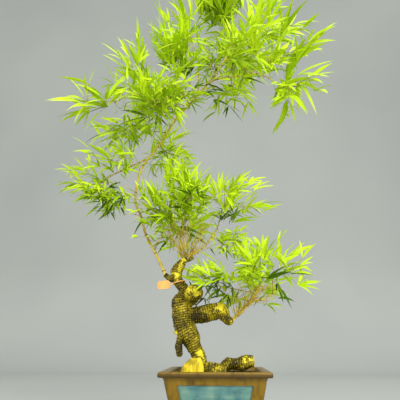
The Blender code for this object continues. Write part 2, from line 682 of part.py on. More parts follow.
class Cell:
    """The space that one mass keeps to: nearer to its centre than to the others', weighed by radius."""

    def __init__(self, mass, stems, runs):
        self.centre = Vector(mass.centre) * MM
        self.radius = mass.radius * MM
        self.walls = []
        for other in MASSES:
            if other is mass:
                continue
            between = Vector(other.centre) * MM - self.centre
            apart = between.length
            offset = (apart**2 + self.radius**2 - (other.radius * MM) ** 2) / (2 * apart) - SPACE
            self.walls.append((between / apart, offset))
        far = self.radius + NEARBY
        capsules = []
        for run in runs.values():
            for start, end in zip(run, run[1:]):
                capsules.append((start.xyz, end.xyz, max(start.w, end.w)))
        for name, (root, hub) in stems.items():
            if name != mass.name:
                capsules.append((root, hub, STEM_RADIUS))
        top = self.centre + Vector((0, 0, SPACE))
        self.solids = [solid for solid in capsules if segment_gap(solid[0], solid[1], self.centre, top) < far]

    def holds(self, point, margin=0.0):
        away = point - self.centre
        return all(normal.dot(away) < offset - margin for normal, offset in self.walls)

    def exit_along(self, point, heading):
        """How far a straight line goes before it leaves the cell or the mass's rounded outline."""
        away = point - self.centre
        limit = math.inf
        for normal, offset in self.walls:
            speed = normal.dot(heading)
            if speed > 1e-6:
                limit = min(limit, (offset - normal.dot(away)) / speed)
        squash = Vector((1, 1, 1 / ENVELOPE_FLATNESS))
        a, d = away * squash, heading * squash
        inside = a.dot(d) ** 2 - d.dot(d) * (a.dot(a) - self.radius**2)
        if inside > 0:
            limit = min(limit, (math.sqrt(inside) - a.dot(d)) / d.dot(d))
        return limit

    def clear(self, start, end, radius):
        """Whether a straight piece stays in the cell and off every limb and other stem."""
        if not (self.holds(start, radius) and self.holds(end)):
            return False
        return all(segment_gap(start, end, a, b) > thick + radius + SPACE for a, b, thick in self.solids)


Twig = namedtuple("Twig", "start end radius tip_radius")
Fan = namedtuple("Fan", "centre forward side normal leaves")
Leaf = namedtuple("Leaf", "angle lift length tip")


class Foliage:
    """Grows one mass: twigs that branch from its stem, each with a fan of leaves at its end."""

    def __init__(self, mass, index, stems, runs):
        self.mass = mass
        self.leaf = mass.leaf * MM
        self.root, self.hub = stems[mass.name]
        self.cell = Cell(mass, stems, runs)
        self.random = random.Random(SEED + index)
        self.turn = index
        self.twigs = [Twig(self.root, self.hub, STEM_RADIUS, STEM_TIP_RADIUS)]
        self.fans = []

    def grow(self):
        for tip in self.mass.tips:
            target = Vector(tip) * MM
            outward = target - self.hub
            length = min(self.leaf * AIMED_LEAF, outward.length * AIMED_SHARE)
            outward.normalize()
            self.spray(target - outward * length, outward, length, 0)
        sprays = round(self.mass.radius / SPRAY_SPACING)
        for number in range(sprays):
            outward = self.heading(number, sprays)
            limit = self.cell.exit_along(self.cell.centre, outward)
            away = max(limit - TIP_ROOM * self.leaf, SHELL * limit) * self.random.uniform(*REACH_RANGE)
            length = self.leaf * self.random.uniform(*LENGTH_RANGE)
            self.spray(self.cell.centre + outward * away, outward, length, FORWARD)
        return self

    def heading(self, number, count):
        """Golden-angle directions, from nearly straight up to a little below level."""
        rise = FIRST_RISE - RISE_SPAN * (number + 0.5) / count
        turn = GOLDEN_ANGLE * (number + self.turn) + self.random.uniform(-TURN_JITTER, TURN_JITTER)
        level = math.sqrt(1 - rise**2)
        return Vector((level * math.cos(turn), level * math.sin(turn), rise))

    def spray(self, place, outward, length, follow):
        """A twig from the nearest wood to a place, with leaves fanned round the outward direction."""
        base = self.fork_for(place)
        if base is None:
            return
        along = (place - base).normalized()
        forward = (along * follow + outward).normalized()
        side = self.side_of(forward, self.random.uniform(-FAN_ROLL, FAN_ROLL))
        normal = side.cross(forward)
        if normal.z < 0:
            side, normal = -side, -normal
        leaves = []
        for slot in sorted(range(-FAN_SLOTS, FAN_SLOTS + 1), key=abs):
            angle = slot * FAN_STEP + self.random.uniform(-FAN_JITTER, FAN_JITTER) * (slot != 0)
            lift = self.random.uniform(-LIFT_JITTER, LIFT_JITTER) * (slot != 0) - DROOP * abs(slot)
            toward = forward * math.cos(angle) + side * math.sin(angle) + normal * lift
            size = self.fitting(place, toward, length * (1 - SHORTER * abs(slot)))
            if size:
                leaves.append(Leaf(angle, lift, size, place + toward * size))
        if len(leaves) >= LEAST_LEAVES:
            self.twigs.append(Twig(base, place, TWIG_RADIUS, TWIG_TIP_RADIUS))
            self.fans.append(Fan(place, forward, side, normal, sorted(leaves)))

    def fork_for(self, place):
        """Where a twig to a place leaves the wood: near the closest point, a little back to the root."""
        forks = []
        for twig in self.twigs:
            run = twig.end - twig.start
            share = (place - twig.start).dot(run) / run.length_squared
            nearest = twig.start + run * min(MOST_FORK, max(0, share))
            back = FORK_BACK * (place - nearest).length / run.length
            fork = twig.start + run * max(LEAST_FORK, min(MOST_FORK, share - back))
            forks.append(((place - fork).length, fork))
        for distance, fork in sorted(forks, key=lambda item: item[0]):
            if distance > LEAST_TWIG and self.cell.clear(fork, place, TWIG_RADIUS):
                return fork
        return None

    def side_of(self, heading, roll):
        """The direction across a fan that its leaves spread along, level for no roll."""
        level = heading.cross(Vector((0, 0, 1)))
        if level.length < 0.2:
            level = heading.cross(Vector((1, 0, 0)))
        level.normalize()
        return (level * math.cos(roll) + heading.cross(level) * math.sin(roll)).normalized()

    def fitting(self, root, toward, length):
        """The first of a leaf's sizes that fits in the cell and clears the other leaves, or 0."""
        for share in LEAF_FITS:
            size = length * share
            half = size * LEAF_WIDTH / 2
            tip = root + toward * size
            widest = root + toward * size * LEAF_WIDEST
            if (
                self.cell.holds(tip)
                and self.cell.holds(widest, half)
                and self.cell.clear(root, tip, half)
                and not self.crosses(root + toward * LEAF_FREE_FROM, tip, half)
            ):
                return size
        return 0

    def crosses(self, start, end, half):
        """Whether a leaf would run through one of the mass's other leaves or twigs."""
        for fan in self.fans:
            for leaf in fan.leaves:
                if segment_gap(start, end, fan.centre, leaf.tip) < half * LEAF_CLEARANCE:
                    return True
        return any(segment_gap(start, end, twig.start, twig.end) < half for twig in self.twigs)


def fan_mesh(fan):
    """A fan of leaves as one body: two poles at its hub, and round them the outline of every leaf."""
    rim = [(0, -FAN_BACK, 0)]
    turns = [leaf.angle for leaf in fan.leaves]
    gaps = [(before + after) / 2 for before, after in zip(turns, turns[1:])]
    notches = [min(turns[0], 0) - FAN_STEP / 2, *gaps, max(turns[-1], 0) + FAN_STEP / 2]
    for leaf, notch in zip(fan.leaves, notches):
        rim.append((NOTCH * math.sin(notch), NOTCH * math.cos(notch), 0))
        for share, half in ((LEAF_WIDEST, -LEAF_WIDTH / 2), (1, 0), (LEAF_WIDEST, LEAF_WIDTH / 2)):
            ahead, aside = share * leaf.length, half * leaf.length
            across = ahead * math.sin(leaf.angle) + aside * math.cos(leaf.angle)
            along = ahead * math.cos(leaf.angle) - aside * math.sin(leaf.angle)
            rim.append((across, along, ahead * leaf.lift))
    rim.append((NOTCH * math.sin(notches[-1]), NOTCH * math.cos(notches[-1]), 0))
    bm = bmesh.new()
    bmesh.ops.create_uvsphere(bm, u_segments=len(rim), v_segments=2, radius=1)
    poles = [vert for vert in bm.verts if abs(vert.co.z) > 0.5]
    for pole in poles:
        pole.co = (0, 0, math.copysign(HUB_HALF, pole.co.z))
    ring = [vert for vert in bm.verts if vert not in poles]
    ring.sort(key=lambda vert: math.atan2(-vert.co.x, vert.co.y) % math.tau, reverse=True)
    for vert, place in zip(ring, rim[1:] + rim[:1]):
        vert.co = place
    frame = Matrix((fan.side, fan.forward, fan.normal)).transposed().to_4x4()
    bmesh.ops.transform(bm, matrix=Matrix.Translation(fan.centre) @ frame, verts=bm.verts)
    bmesh.ops.recalc_face_normals(bm, faces=bm.faces)
    return mesh_from(bm, "fan")


def twig_mesh(twig, origin):
    """A three-sided tapering twig between two points."""
    along = twig.end - twig.start
    place = Matrix.Translation((twig.start + twig.end) / 2 - origin)
    bm = bmesh.new()
    bmesh.ops.create_cone(
        bm,
        cap_ends=True,
        segments=3,
        radius1=twig.radius,
        radius2=twig.tip_radius,
        depth=along.length,
        matrix=place @ along.to_track_quat("Z", "Y").to_matrix().to_4x4(),
    )
    return mesh_from(bm, "twig")


def build_mass(foliage, parts):
    """Fuses a mass's twigs and fans of leaves onto its stem."""
    part = add_part(foliage.mass.name, twig_mesh(foliage.twigs[0], foliage.root), parts, "leaf", foliage.root)
    pieces = new_collection(f"{foliage.mass.name}_pieces")
    for twig in foliage.twigs[1:]:
        pieces.objects.link(bpy.data.objects.new("twig", twig_mesh(twig, Vector())))
    for fan in foliage.fans:
        pieces.objects.link(bpy.data.objects.new("fan", fan_mesh(fan)))
    union = part.modifiers.new("Leaves and twigs", "BOOLEAN")
    union.operation = "UNION"
    union.operand_type = "COLLECTION"
    union.collection = pieces
    union.solver = "EXACT"
    apply_modifiers(part)
    for piece in list(pieces.objects):
        bpy.data.objects.remove(piece, do_unlink=True)
    bpy.data.collections.remove(pieces)


def build_foliage(parts, runs):
    stems = {mass.name: stem_of(mass, runs) for mass in MASSES}
    grown = [Foliage(mass, index, stems, runs).grow() for index, mass in enumerate(MASSES)]
    for foliage in grown:
        build_mass(foliage, parts)
    return grown


def main():
    remove_everything()
    parts = new_collection("potted_bamboo")
    cutters = new_collection("cutters", hidden=True)
    build_pot(parts, cutters)
    build_soil(parts)
    runs = build_limbs(parts, cutters)
    build_tag(parts, runs)
    grown = build_foliage(parts, runs)
    root = bpy.data.objects.new("potted_bamboo_root", None)
    parts.objects.link(root)
    for part in parts.objects:
        if part is not root:
            part.parent = root
    return runs, grown


if __name__ == "__main__":
    main()
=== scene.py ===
"""Looks of the potted bamboo: glazed pot, soil, knobbly rhizome, canes, leafy sprays and plant label.

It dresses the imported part, which it loads as a fixed frame. Z is up, the front panel faces -Y and
the origin is the centre of the pot's underside. Lengths are metres. Routes, spots and other rows of
places are millimetres, which MM converts.
"""

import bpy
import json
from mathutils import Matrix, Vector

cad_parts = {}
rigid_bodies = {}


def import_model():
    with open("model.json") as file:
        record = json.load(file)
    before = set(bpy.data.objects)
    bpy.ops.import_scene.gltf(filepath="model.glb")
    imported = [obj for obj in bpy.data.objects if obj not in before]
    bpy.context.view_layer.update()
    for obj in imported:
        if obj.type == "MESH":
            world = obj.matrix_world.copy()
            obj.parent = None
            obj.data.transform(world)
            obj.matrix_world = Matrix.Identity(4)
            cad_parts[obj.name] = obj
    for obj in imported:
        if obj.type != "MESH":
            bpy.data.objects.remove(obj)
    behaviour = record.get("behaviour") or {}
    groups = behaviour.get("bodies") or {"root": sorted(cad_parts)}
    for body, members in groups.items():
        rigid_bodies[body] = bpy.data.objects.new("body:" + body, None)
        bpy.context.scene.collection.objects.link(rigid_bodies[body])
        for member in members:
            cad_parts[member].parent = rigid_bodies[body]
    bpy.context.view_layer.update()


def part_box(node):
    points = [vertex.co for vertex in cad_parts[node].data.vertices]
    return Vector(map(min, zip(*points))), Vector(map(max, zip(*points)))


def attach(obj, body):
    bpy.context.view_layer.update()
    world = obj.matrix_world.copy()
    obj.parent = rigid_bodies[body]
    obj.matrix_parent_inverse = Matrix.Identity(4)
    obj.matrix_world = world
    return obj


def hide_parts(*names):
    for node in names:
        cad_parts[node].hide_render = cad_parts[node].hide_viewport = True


bl_info = {
    "name": "Potted Bamboo Looks",
    "version": (1, 0, 0),
    "blender": (4, 5, 0),
    "location": "3D View > Sidebar > Bamboo",
    "description": "Dresses the packed potted bamboo: glaze, soil, bark, canes, leaves and label",
    "category": "Object",
}

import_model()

import json
import math
import random
from collections import namedtuple

import bmesh
import bpy
from bpy.props import FloatProperty, FloatVectorProperty, PointerProperty
from bpy.types import Operator, Panel, PropertyGroup
from mathutils import Matrix, Vector, noise

MM = 0.001
GAP = 0.0003
BODY = "root"
UP, FRONT = Vector((0, 0, 1)), Vector((0, -1, 0))


def srgb(red, green, blue):
    """A colour given as it looks on a screen, 0 to 255, in the linear numbers that materials use."""
    shares = [channel / 255 for channel in (red, green, blue)]
    return tuple(s / 12.92 if s <= 0.04045 else ((s + 0.055) / 1.055) ** 2.4 for s in shares)


# Sizes taken from the frame

POT_LOW, POT_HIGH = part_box("pot")
RIM_HALF = (POT_HIGH.x - POT_LOW.x) / 2
RIM_TOP = POT_HIGH.z
SOIL_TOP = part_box("soil")[1].z


# Materials


class Value:
    """One output of a material's nodes. An expression on it adds the Math nodes that it stands for."""

    def __init__(self, finish, socket):
        self.finish = finish
        self.socket = socket

    def math(self, operation, first, second, clamp=False):
        settings = {"operation": operation, "use_clamp": clamp}
        return self.finish.node("ShaderNodeMath", settings, {0: first, 1: second})

    def __add__(self, other):
        return self.math("ADD", self, other)

    def __sub__(self, other):
        return self.math("SUBTRACT", self, other)

    def __rsub__(self, other):
        return self.math("SUBTRACT", other, self)

    def __mul__(self, other):
        return self.math("MULTIPLY", self, other)

    __radd__ = __add__
    __rmul__ = __mul__

    def limited(self):
        """Kept between 0 and 1."""
        return self.math("ADD", self, 0, clamp=True)

    def rising(self, low, high):
        """0 below one level, 1 above another, and smooth between."""
        levels = {"Value": self, "From Min": low, "From Max": high}
        return self.finish.node("ShaderNodeMapRange", {"interpolation_type": "SMOOTHSTEP"}, levels)


class Finish:
    """A material in the making, with its Principled shader and the one method that adds a node."""

    def __init__(self, name, constants=None):
        self.material = bpy.data.materials.new(name)
        self.material.use_nodes = True
        self.tree = self.material.node_tree
        self.shader = self.tree.nodes["Principled BSDF"]
        for socket, value in (constants or {}).items():
            self.set(socket, value)

    def feed(self, socket, value):
        if isinstance(value, Value):
            self.tree.links.new(value.socket, socket)
        elif socket.type == "RGBA":
            socket.default_value = (*value, 1)
        else:
            socket.default_value = value

    def node(self, kind, settings=None, inputs=None, output=0):
        """Adds a node: its settings first, then the values or links of its sockets."""
        made = self.tree.nodes.new(kind)
        for name, value in (settings or {}).items():
            if name == "stops":
                self.set_stops(made.color_ramp, value)
            else:
                setattr(made, name, value)
        for socket, value in (inputs or {}).items():
            self.feed(made.inputs[socket], value)
        return Value(self, made.outputs[output])

    def set_stops(self, ramp, stops):
        for element, (place, colour) in zip(ramp.elements, stops):
            element.position, element.color = place, (*colour, 1)
        for place, colour in stops[len(ramp.elements):]:
            ramp.elements.new(place).color = (*colour, 1)

    def set(self, socket, value):
        self.feed(self.shader.inputs[socket], value)

    def place(self, stretch=(1, 1, 1)):
        """Object coordinates, stretched along the axes."""
        at = self.node("ShaderNodeTexCoord", output="Object")
        return self.node("ShaderNodeVectorMath", {"operation": "MULTIPLY"}, {0: at, 1: stretch})

    def noise(self, scale, detail=3, stretch=(1, 1, 1)):
        inputs = {"Vector": self.place(stretch), "Scale": scale, "Detail": detail}
        return self.node("ShaderNodeTexNoise", inputs=inputs)

    def cracks(self, scale):
        """The distance to the nearest crack between cells."""
        inputs = {"Vector": self.place(), "Scale": scale}
        return self.node("ShaderNodeTexVoronoi", {"feature": "DISTANCE_TO_EDGE"}, inputs, "Distance")

    def stored(self, name):
        """A number stored on the mesh's points."""
        return self.node("ShaderNodeAttribute", {"attribute_name": name}, output="Fac")

    def ramp(self, value, *stops):
        return self.node("ShaderNodeValToRGB", {"stops": stops}, {0: value})

    def mix(self, share, first, second):
        return self.node("ShaderNodeMix", {"data_type": "RGBA"}, {0: share, 6: first, 7: second}, 2)

    def bump(self, height, distance, strength=1.0):
        inputs = {"Height": height, "Distance": distance, "Strength": strength}
        self.set("Normal", self.node("ShaderNodeBump", inputs=inputs))

    def done(self, colour, roughness):
        """Sets the colour and the roughness, and gives the material."""
        self.set("Base Color", colour)
        self.set("Roughness", roughness)
        return self.material


def pot_glaze(look):
    """Brown glaze that runs golden down the walls and breaks pale where it is thin; where it pools it
    is darker, which under the lip is painted shade as well, and the pale lip top is a painted sheen as
    well.
    """
    finish = Finish("glazed_brown", {"Coat Weight": 0.12, "Specular IOR Level": 0.35})
    clouds = finish.noise(22, 4)
    runs = finish.noise(70, 3, stretch=(1, 1, 0.22))
    speckle = finish.noise(620, 2)
    tone = clouds * 0.5 + runs * 0.45 + speckle * 0.2 - 0.08
    brown = finish.ramp(
        tone, (0.36, look.glaze_dark), (0.5, look.glaze), (0.58, look.glaze), (0.72, look.glaze_light)
    )
    thin = finish.stored("thin")
    # Below 0 the glaze is darkened: pooled glaze and, under the lip, painted shade
    pooled_and_shaded = finish.mix((thin * -1.5).limited(), brown, look.glaze_dark)
    worn = thin * (clouds * 0.9 + runs * 0.9 - 0.05)
    finish.bump(runs * 0.6 + speckle * 0.4, 0.0005, 0.5)
    glaze = finish.mix(worn.rising(0.25, 0.95), pooled_and_shaded, look.glaze_thin)
    return finish.done(glaze, clouds * 0.3 + speckle * 0.15 + 0.2)


def panel_glaze(look):
    """Clouded blue-green glaze, brushed and finely crackled, with an uneven brown wash low down."""
    finish = Finish("teal_glaze", {"Coat Weight": 0.12, "Specular IOR Level": 0.35})
    clouds = finish.noise(34, 4)
    brushed = finish.noise(60, 3, stretch=(0.35, 0.35, 1.6))
    crackle = finish.cracks(190).rising(0, 0.035)
    tone = clouds * 0.6 + brushed * 0.5 - 0.05
    teal = finish.ramp(tone, (0.34, look.panel_dark), (0.5, look.panel), (0.68, look.panel_light))
    wash = finish.noise(46, 5).rising(0.52, 0.7) * finish.stored("wash") * 0.75
    washed = finish.mix(wash, teal, look.panel_wash)
    finish.bump(brushed * 0.7 + crackle * 0.3, 0.0003, 0.5)
    return finish.done(finish.mix((1 - crackle) * 0.35, washed, look.panel_dark), clouds * 0.2 + 0.2)


def soil_finish(look):
    """Damp dark potting soil with paler crumbs."""
    finish = Finish("soil", {"Specular IOR Level": 0.15})
    crumbs = finish.noise(420, 4)
    damp = finish.noise(45, 2)
    tone = crumbs * 0.8 + damp * 0.3
    soil = finish.ramp(tone, (0.35, look.soil_dark), (0.6, look.soil), (0.8, look.soil_light))
    finish.bump(crumbs, 0.0012)
    return finish.done(soil, damp * 0.3 + 0.65)


def bark_finish(look):
    """Old rhizome bark: dark between its rings as painted shade, olive on them and lighter on the nubs'
    tops as painted highlight, and golden where it is worn or cut.
    """
    finish = Finish("rhizome_bark", {"Specular IOR Level": 0.2})
    # The stored darkening is moss together with painted shade under the arm and the knob and down the
    # trunk's left side
    relief, gold, moss = (finish.stored(name) for name in ("relief", "gold", "moss"))
    fleck = finish.noise(330, 4) - 0.5
    patch = finish.noise(60, 4) - 0.5
    # The relief term paints shade into the gaps between the nubs and highlight on their tops
    tone = (relief * 0.62 + fleck * 1.3 + patch * 0.9 + gold * 0.28 - moss * 0.2 + 0.02).limited()
    bark = finish.ramp(
        tone, (0.08, look.bark_gap), (0.3, look.bark), (0.56, look.bark_worn), (0.84, look.bark_gold)
    )
    fibre = finish.noise(420, 3, stretch=(1, 1, 0.4)) - 0.5
    fresh = finish.ramp(
        fibre * 1.2 + patch * 1.5 + relief * 0.35 + 0.4,
        (0.22, look.bark_worn), (0.46, look.bark_gold), (0.76, look.cut_wood),
    )
    bare = gold * 1.2 + fleck * 1.3 + patch * 0.6 + relief * 0.25 - 0.52
    finish.bump(fleck * 0.7 + fibre * 0.3, 0.0009, 0.8)
    skin = finish.mix(bare.rising(0.12, 0.82), bark, fresh)
    return finish.done(skin, fleck * 0.35 + relief * -0.1 + 0.6)


def cut_wood_finish(look):
    """Freshly chopped yellow wood, with fibres that run up it, painted lighter on the faces that turn
    toward +X and darker, as painted shade, on the others.
    """
    finish = Finish("cut_wood", {"Specular IOR Level": 0.2})
    fibre = finish.noise(420, 4, stretch=(1, 1, 0.16))
    patch = finish.noise(60, 3)
    # The stored lit number is painted light: faces that turn toward +X are painted lighter, the rest
    # darker as painted shade
    tone = fibre * 0.5 + patch * 0.5 + finish.stored("lit") * 0.34 - 0.16
    wood = finish.ramp(tone, (0.3, look.bark_worn), (0.46, look.wedge_gold), (0.66, look.cut_wood))
    finish.bump(fibre, 0.0006, 0.6)
    return finish.done(wood, fibre * 0.3 + 0.4)


def cane_finish(look):
    """Golden cane, streaked along its grain and brown at its joints."""
    finish = Finish("cane", {"Specular IOR Level": 0.3})
    streak = finish.noise(240, 3, stretch=(1, 1, 0.2))
    patch = finish.noise(40, 2)
    tone = streak * 0.55 + patch * 0.55
    cane = finish.ramp(tone, (0.36, look.cane_dark), (0.55, look.cane), (0.75, look.cane_light))
    joint = (finish.stored("joint") + streak * 0.3 - 0.15).rising(0.3, 0.8)
    finish.bump(streak, 0.0003, 0.5)
    return finish.done(finish.mix(joint, cane, look.cane_joint), streak * 0.25 + 0.3)


def twig_finish(look):
    """Thin green-gold twigs."""
    finish = Finish("twig")
    patch = finish.noise(60, 3)
    twig = finish.ramp(patch, (0.35, look.cane_dark), (0.5, look.twig), (0.68, look.cane))
    return finish.done(twig, patch * 0.3 + 0.35)


def leaf_finish(name, colour):
    """A spray's plain leaf colour, one of the lit and shaded copies that stand for painted light, with
    a satin skin that is a little uneven.
    """
    finish = Finish(f"leaf_{name}", {"Base Color": colour, "Specular IOR Level": 0.18})
    finish.set("Roughness", finish.noise(90, 2) * 0.3 + 0.4)
    return finish.material


def card_finish(look):
    """Soft blank card, faintly fibrous."""
    finish = Finish("tag_card")
    fibre = finish.noise(700, 3, stretch=(0.4, 1, 1))
    patch = finish.noise(50, 2)
    tone = fibre * 0.5 + patch * 0.5
    finish.bump(fibre, 0.0002, 0.4)
    return finish.done(finish.ramp(tone, (0.35, look.card_shade), (0.6, look.card)), fibre * 0.2 + 0.65)


# Pieces


def store(mesh, key, numbers):
    """Stores a number on each of a mesh's points, for the materials to read."""
    mesh.attributes.new(key, "FLOAT", "POINT").data.foreach_set("value", numbers)


def mesh_of(name, verts, faces, stored=None):
    """A smooth mesh with numbers stored on its points."""
    mesh = bpy.data.meshes.new(name)
    mesh.from_pydata(verts, [], faces)
    mesh.shade_smooth()
    for key, numbers in (stored or {}).items():
        store(mesh, key, numbers)
    return mesh


def add_object(name, data):
    """An object in the scene's own collection."""
    made = bpy.data.objects.new(name, data)
    bpy.context.scene.collection.objects.link(made)
    return made


class Pile:
    """Points, faces and stored numbers of many small bodies that make one mesh."""

    def __init__(self, *keys):
        self.verts, self.faces = [], []
        self.stored = {key: [] for key in keys}

    def add(self, verts, faces, **numbers):
        first = len(self.verts)
        self.verts.extend(verts)
        self.faces.extend(tuple(first + index for index in face) for face in faces)
        for key, values in numbers.items():
            self.stored[key].extend(values)

    def mesh(self, name):
        return mesh_of(name, self.verts, self.faces, self.stored)


def add_piece(name, made, material, nodes):
    """A piece of the looks, from a pile or a mesh, that rides on the part and stands for nodes."""
    mesh = made.mesh(name) if isinstance(made, Pile) else made
    mesh.name = name
    mesh.materials.clear()
    mesh.materials.append(material)
    piece = add_object(name, mesh)
    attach(piece, BODY)
    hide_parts(*nodes)


def tube_faces(rings, sides, closed=False):
    """Faces between rings of points, and from the last ring to the first where the tube is closed."""
    faces = []
    for ring in range(rings if closed else rings - 1):
        here, following = ring * sides, (ring + 1) % rings * sides
        for side in range(sides):
            beside = (side + 1) % sides
            faces.append((here + side, here + beside, following + beside, following + side))
    return faces


def loft_faces(rings, sides):
    """Faces between rings of points, then over the two poles that follow them."""
    first, base = rings * sides, (rings - 1) * sides
    faces = tube_faces(rings, sides)
    faces += [(first, (side + 1) % sides, side) for side in range(sides)]
    faces += [(first + 1, base + side, base + (side + 1) % sides) for side in range(sides)]
    return faces


def grid_faces(columns, rows):
    """Quads between points that are laid row by row."""
    across = columns + 1
    corners = [row * across + column for row in range(rows) for column in range(columns)]
    return [(here, here + 1, here + 1 + across, here + across) for here in corners]


def grid_sides(columns, rows):
    """The points along a grid's four sides, in order round its edge, each with both its corners."""
    across = columns + 1
    top = rows * across
    return (
        [*range(across)],
        [*range(columns, top + across, across)],
        [*range(top + columns, top - 1, -1)],
        [*range(top, -1, -across)],
    )


def ring_round(front, aside, sides):
    """Even turns round a limb, each with the direction out of it."""
    for side in range(sides):
        turn = math.tau * side / sides
        yield turn, front * math.cos(turn) + aside * math.sin(turn)


# Pot: half-widths across the flats, and heights

LIP_HEIGHT = 0.0105
LIP_ROUND = 0.0030
LIP_CROWN = 0.0006
INNER_TOP_HALF = 0.0925
INNER_FLOOR_HALF, INNER_FLOOR = 0.061, 0.016
WALL_TOP_HALF, WALL_TOP = 0.0976, 0.1375
WALL_FOOT_HALF, WALL_FOOT = 0.069, 0.012
COVE_HALF, COVE_TOP = 0.1015, 0.1490
PLINTH_HALF, PLINTH_HEIGHT, PLINTH_ROUND = 0.070, 0.008, 0.0014
FOOT_RING, FOOT_HOLLOW, FOOT_BEVEL = 0.009, 0.004, 0.002
WALL_TUCK, PLINTH_STEP = 0.0012, 0.0015
# How thin the glaze lies on each stretch of the pot: above 0 it has run off, below 0 it has pooled and
# is painted darker as shade
FOOT_GLAZE, PLINTH_GLAZE, WALL_GLAZE, COVE_GLAZE = 0.3, 0.8, 0.1, 0.15
# The lip's underside is darker as pooled glaze and painted shade; its rounded top is pale as thin glaze
# and a painted sheen
UNDER_LIP_GLAZE, LIP_FOOT_GLAZE, LIP_GLAZE, RIM_GLAZE = -0.6, -0.4, 0.4, 0.1
INNER_GLAZE, INNER_GLAZE_FALL, BEAD_GLAZE = 0.42, 0.08, 0.35
CORNER, CORNER_SIDES, FLAT_SIDES = 0.0055, 7, 22
ROUND_STEPS = 5
WALL_STEPS = 14
POT_UNEVEN, POT_UNEVEN_SCALE = 0.0005, 16
NOTCH_LENGTH, NOTCH_DEPTH, NOTCH_HEIGHT, NOTCH_BELOW = 0.070, 0.010, 0.005, 0.002
NOTCH_SPLAY, NOTCH_NARROW = 1.1, 0.94
NOTCH_CORNERS = ((-1, -1), (1, -1), (1, 1), (-1, 1))
PANEL_LOW, PANEL_HIGH, PANEL_POST = 0.030, 0.137, 0.0237
PANEL_SUNK, PANEL_THICK, CUTTER_PROUD = 0.0015, 0.003, 0.01
PANEL_CORNERS = ((-1, 0), (1, 0), (1, 1), (-1, 1))
PANEL_COLUMNS, PANEL_ROWS = 36, 26
PANEL_EDGE, PANEL_ROUND = 0.003, 0.0012
PANEL_UNEVEN, PANEL_UNEVEN_SCALE = 0.0003, 45
BEAD_RADIUS, BEAD_CORNER, BEAD_SIDES = 0.0013, 0.004, 8
SIDES = ("front", "right", "back", "left")


def quarter_turn(quarter):
    return Matrix.Rotation(quarter * math.pi / 2, 3, "Z")


def rounded_square(half, corner, height):
    """Points round a level square with rounded corners, seen from above against the clock."""
    corner = min(corner, half * 0.9)
    points = []
    for quarter in range(4):
        turn = quarter_turn(quarter)
        for step in range(CORNER_SIDES):
            angle = step / (CORNER_SIDES - 1) * math.pi / 2
            across, along = corner * math.sin(angle), corner * math.cos(angle)
            points.append(turn @ Vector((half - corner + across, corner - half - along, height)))
        for step in range(1, FLAT_SIDES):
            along = (2 * step / FLAT_SIDES - 1) * (half - corner)
            points.append(turn @ Vector((half, along, height)))
    return points


def arc(half, height, radius, start, end):
    """Profile rows round part of a circle, its angles in degrees up from level."""
    rows = []
    for step in range(ROUND_STEPS + 1):
        angle = math.radians(start + (end - start) * step / ROUND_STEPS)
        rows.append((half + radius * math.cos(angle), height + radius * math.sin(angle)))
    return rows


def pot_profile():
    """The pot's half profile, from its foot round to its inner floor: half-width, height, thinness."""
    lip_low, lip_edge = RIM_TOP - LIP_HEIGHT, RIM_TOP - LIP_CROWN
    rows = [(PLINTH_HALF - FOOT_RING, FOOT_HOLLOW, 0), (PLINTH_HALF - FOOT_RING + FOOT_BEVEL, 0, 0)]
    foot_round = arc(PLINTH_HALF - PLINTH_ROUND, PLINTH_ROUND, PLINTH_ROUND, -90, 0)
    top_round = arc(PLINTH_HALF - PLINTH_ROUND, PLINTH_HEIGHT - PLINTH_ROUND, PLINTH_ROUND, 0, 70)
    rows += [(*row, FOOT_GLAZE) for row in foot_round]
    rows += [(*row, PLINTH_GLAZE) for row in top_round]
    rows.append((WALL_FOOT_HALF - WALL_TUCK, PLINTH_HEIGHT + PLINTH_STEP, WALL_GLAZE))
    for step in range(WALL_STEPS + 1):
        share = step / WALL_STEPS
        half = WALL_FOOT_HALF + share * (WALL_TOP_HALF - WALL_FOOT_HALF)
        rows.append((half, WALL_FOOT + share * (WALL_TOP - WALL_FOOT), WALL_GLAZE))
    for step in range(1, ROUND_STEPS + 1):
        share = step / ROUND_STEPS
        half = WALL_TOP_HALF + (COVE_HALF - WALL_TOP_HALF) * share**2
        rows.append((half, WALL_TOP + share * (COVE_TOP - WALL_TOP), COVE_GLAZE))
    under_lip = arc(RIM_HALF - LIP_ROUND, lip_low + LIP_ROUND, LIP_ROUND, -90, 0)
    rows += [(*row, UNDER_LIP_GLAZE) for row in under_lip]
    for step, row in enumerate(arc(RIM_HALF - LIP_ROUND, lip_edge - LIP_ROUND, LIP_ROUND, 0, 90)):
        rows.append((*row, LIP_GLAZE if step else LIP_FOOT_GLAZE))
    rows.append(((RIM_HALF + INNER_TOP_HALF) / 2, RIM_TOP, RIM_GLAZE))
    inner = arc(INNER_TOP_HALF + LIP_ROUND, lip_edge - LIP_ROUND, LIP_ROUND, 90, 180)
    rows += [(*row, INNER_GLAZE - INNER_GLAZE_FALL * step) for step, row in enumerate(inner)]
    rows.append((INNER_FLOOR_HALF, INNER_FLOOR, 0))
    return rows


def wall_half(height):
    share = (height - WALL_FOOT) / (WALL_TOP - WALL_FOOT)
    return WALL_FOOT_HALF + share * (WALL_TOP_HALF - WALL_FOOT_HALF)


def wall_axes():
    """Up along the front wall's slope, and square out of it."""
    narrower = wall_half(PANEL_LOW) - wall_half(PANEL_HIGH)
    rise = Vector((0, narrower, PANEL_HIGH - PANEL_LOW)).normalized()
    return rise, Vector((0, -rise.z, rise.y))


def on_wall(across, up, depth=0.0):
    """A point of the front panel, across from -1 to 1 and up from 0 to 1, so far out of the wall."""
    height = PANEL_LOW + up * (PANEL_HIGH - PANEL_LOW)
    half = wall_half(height)
    return Vector((across * (half - PANEL_POST), -half, height)) + wall_axes()[1] * depth


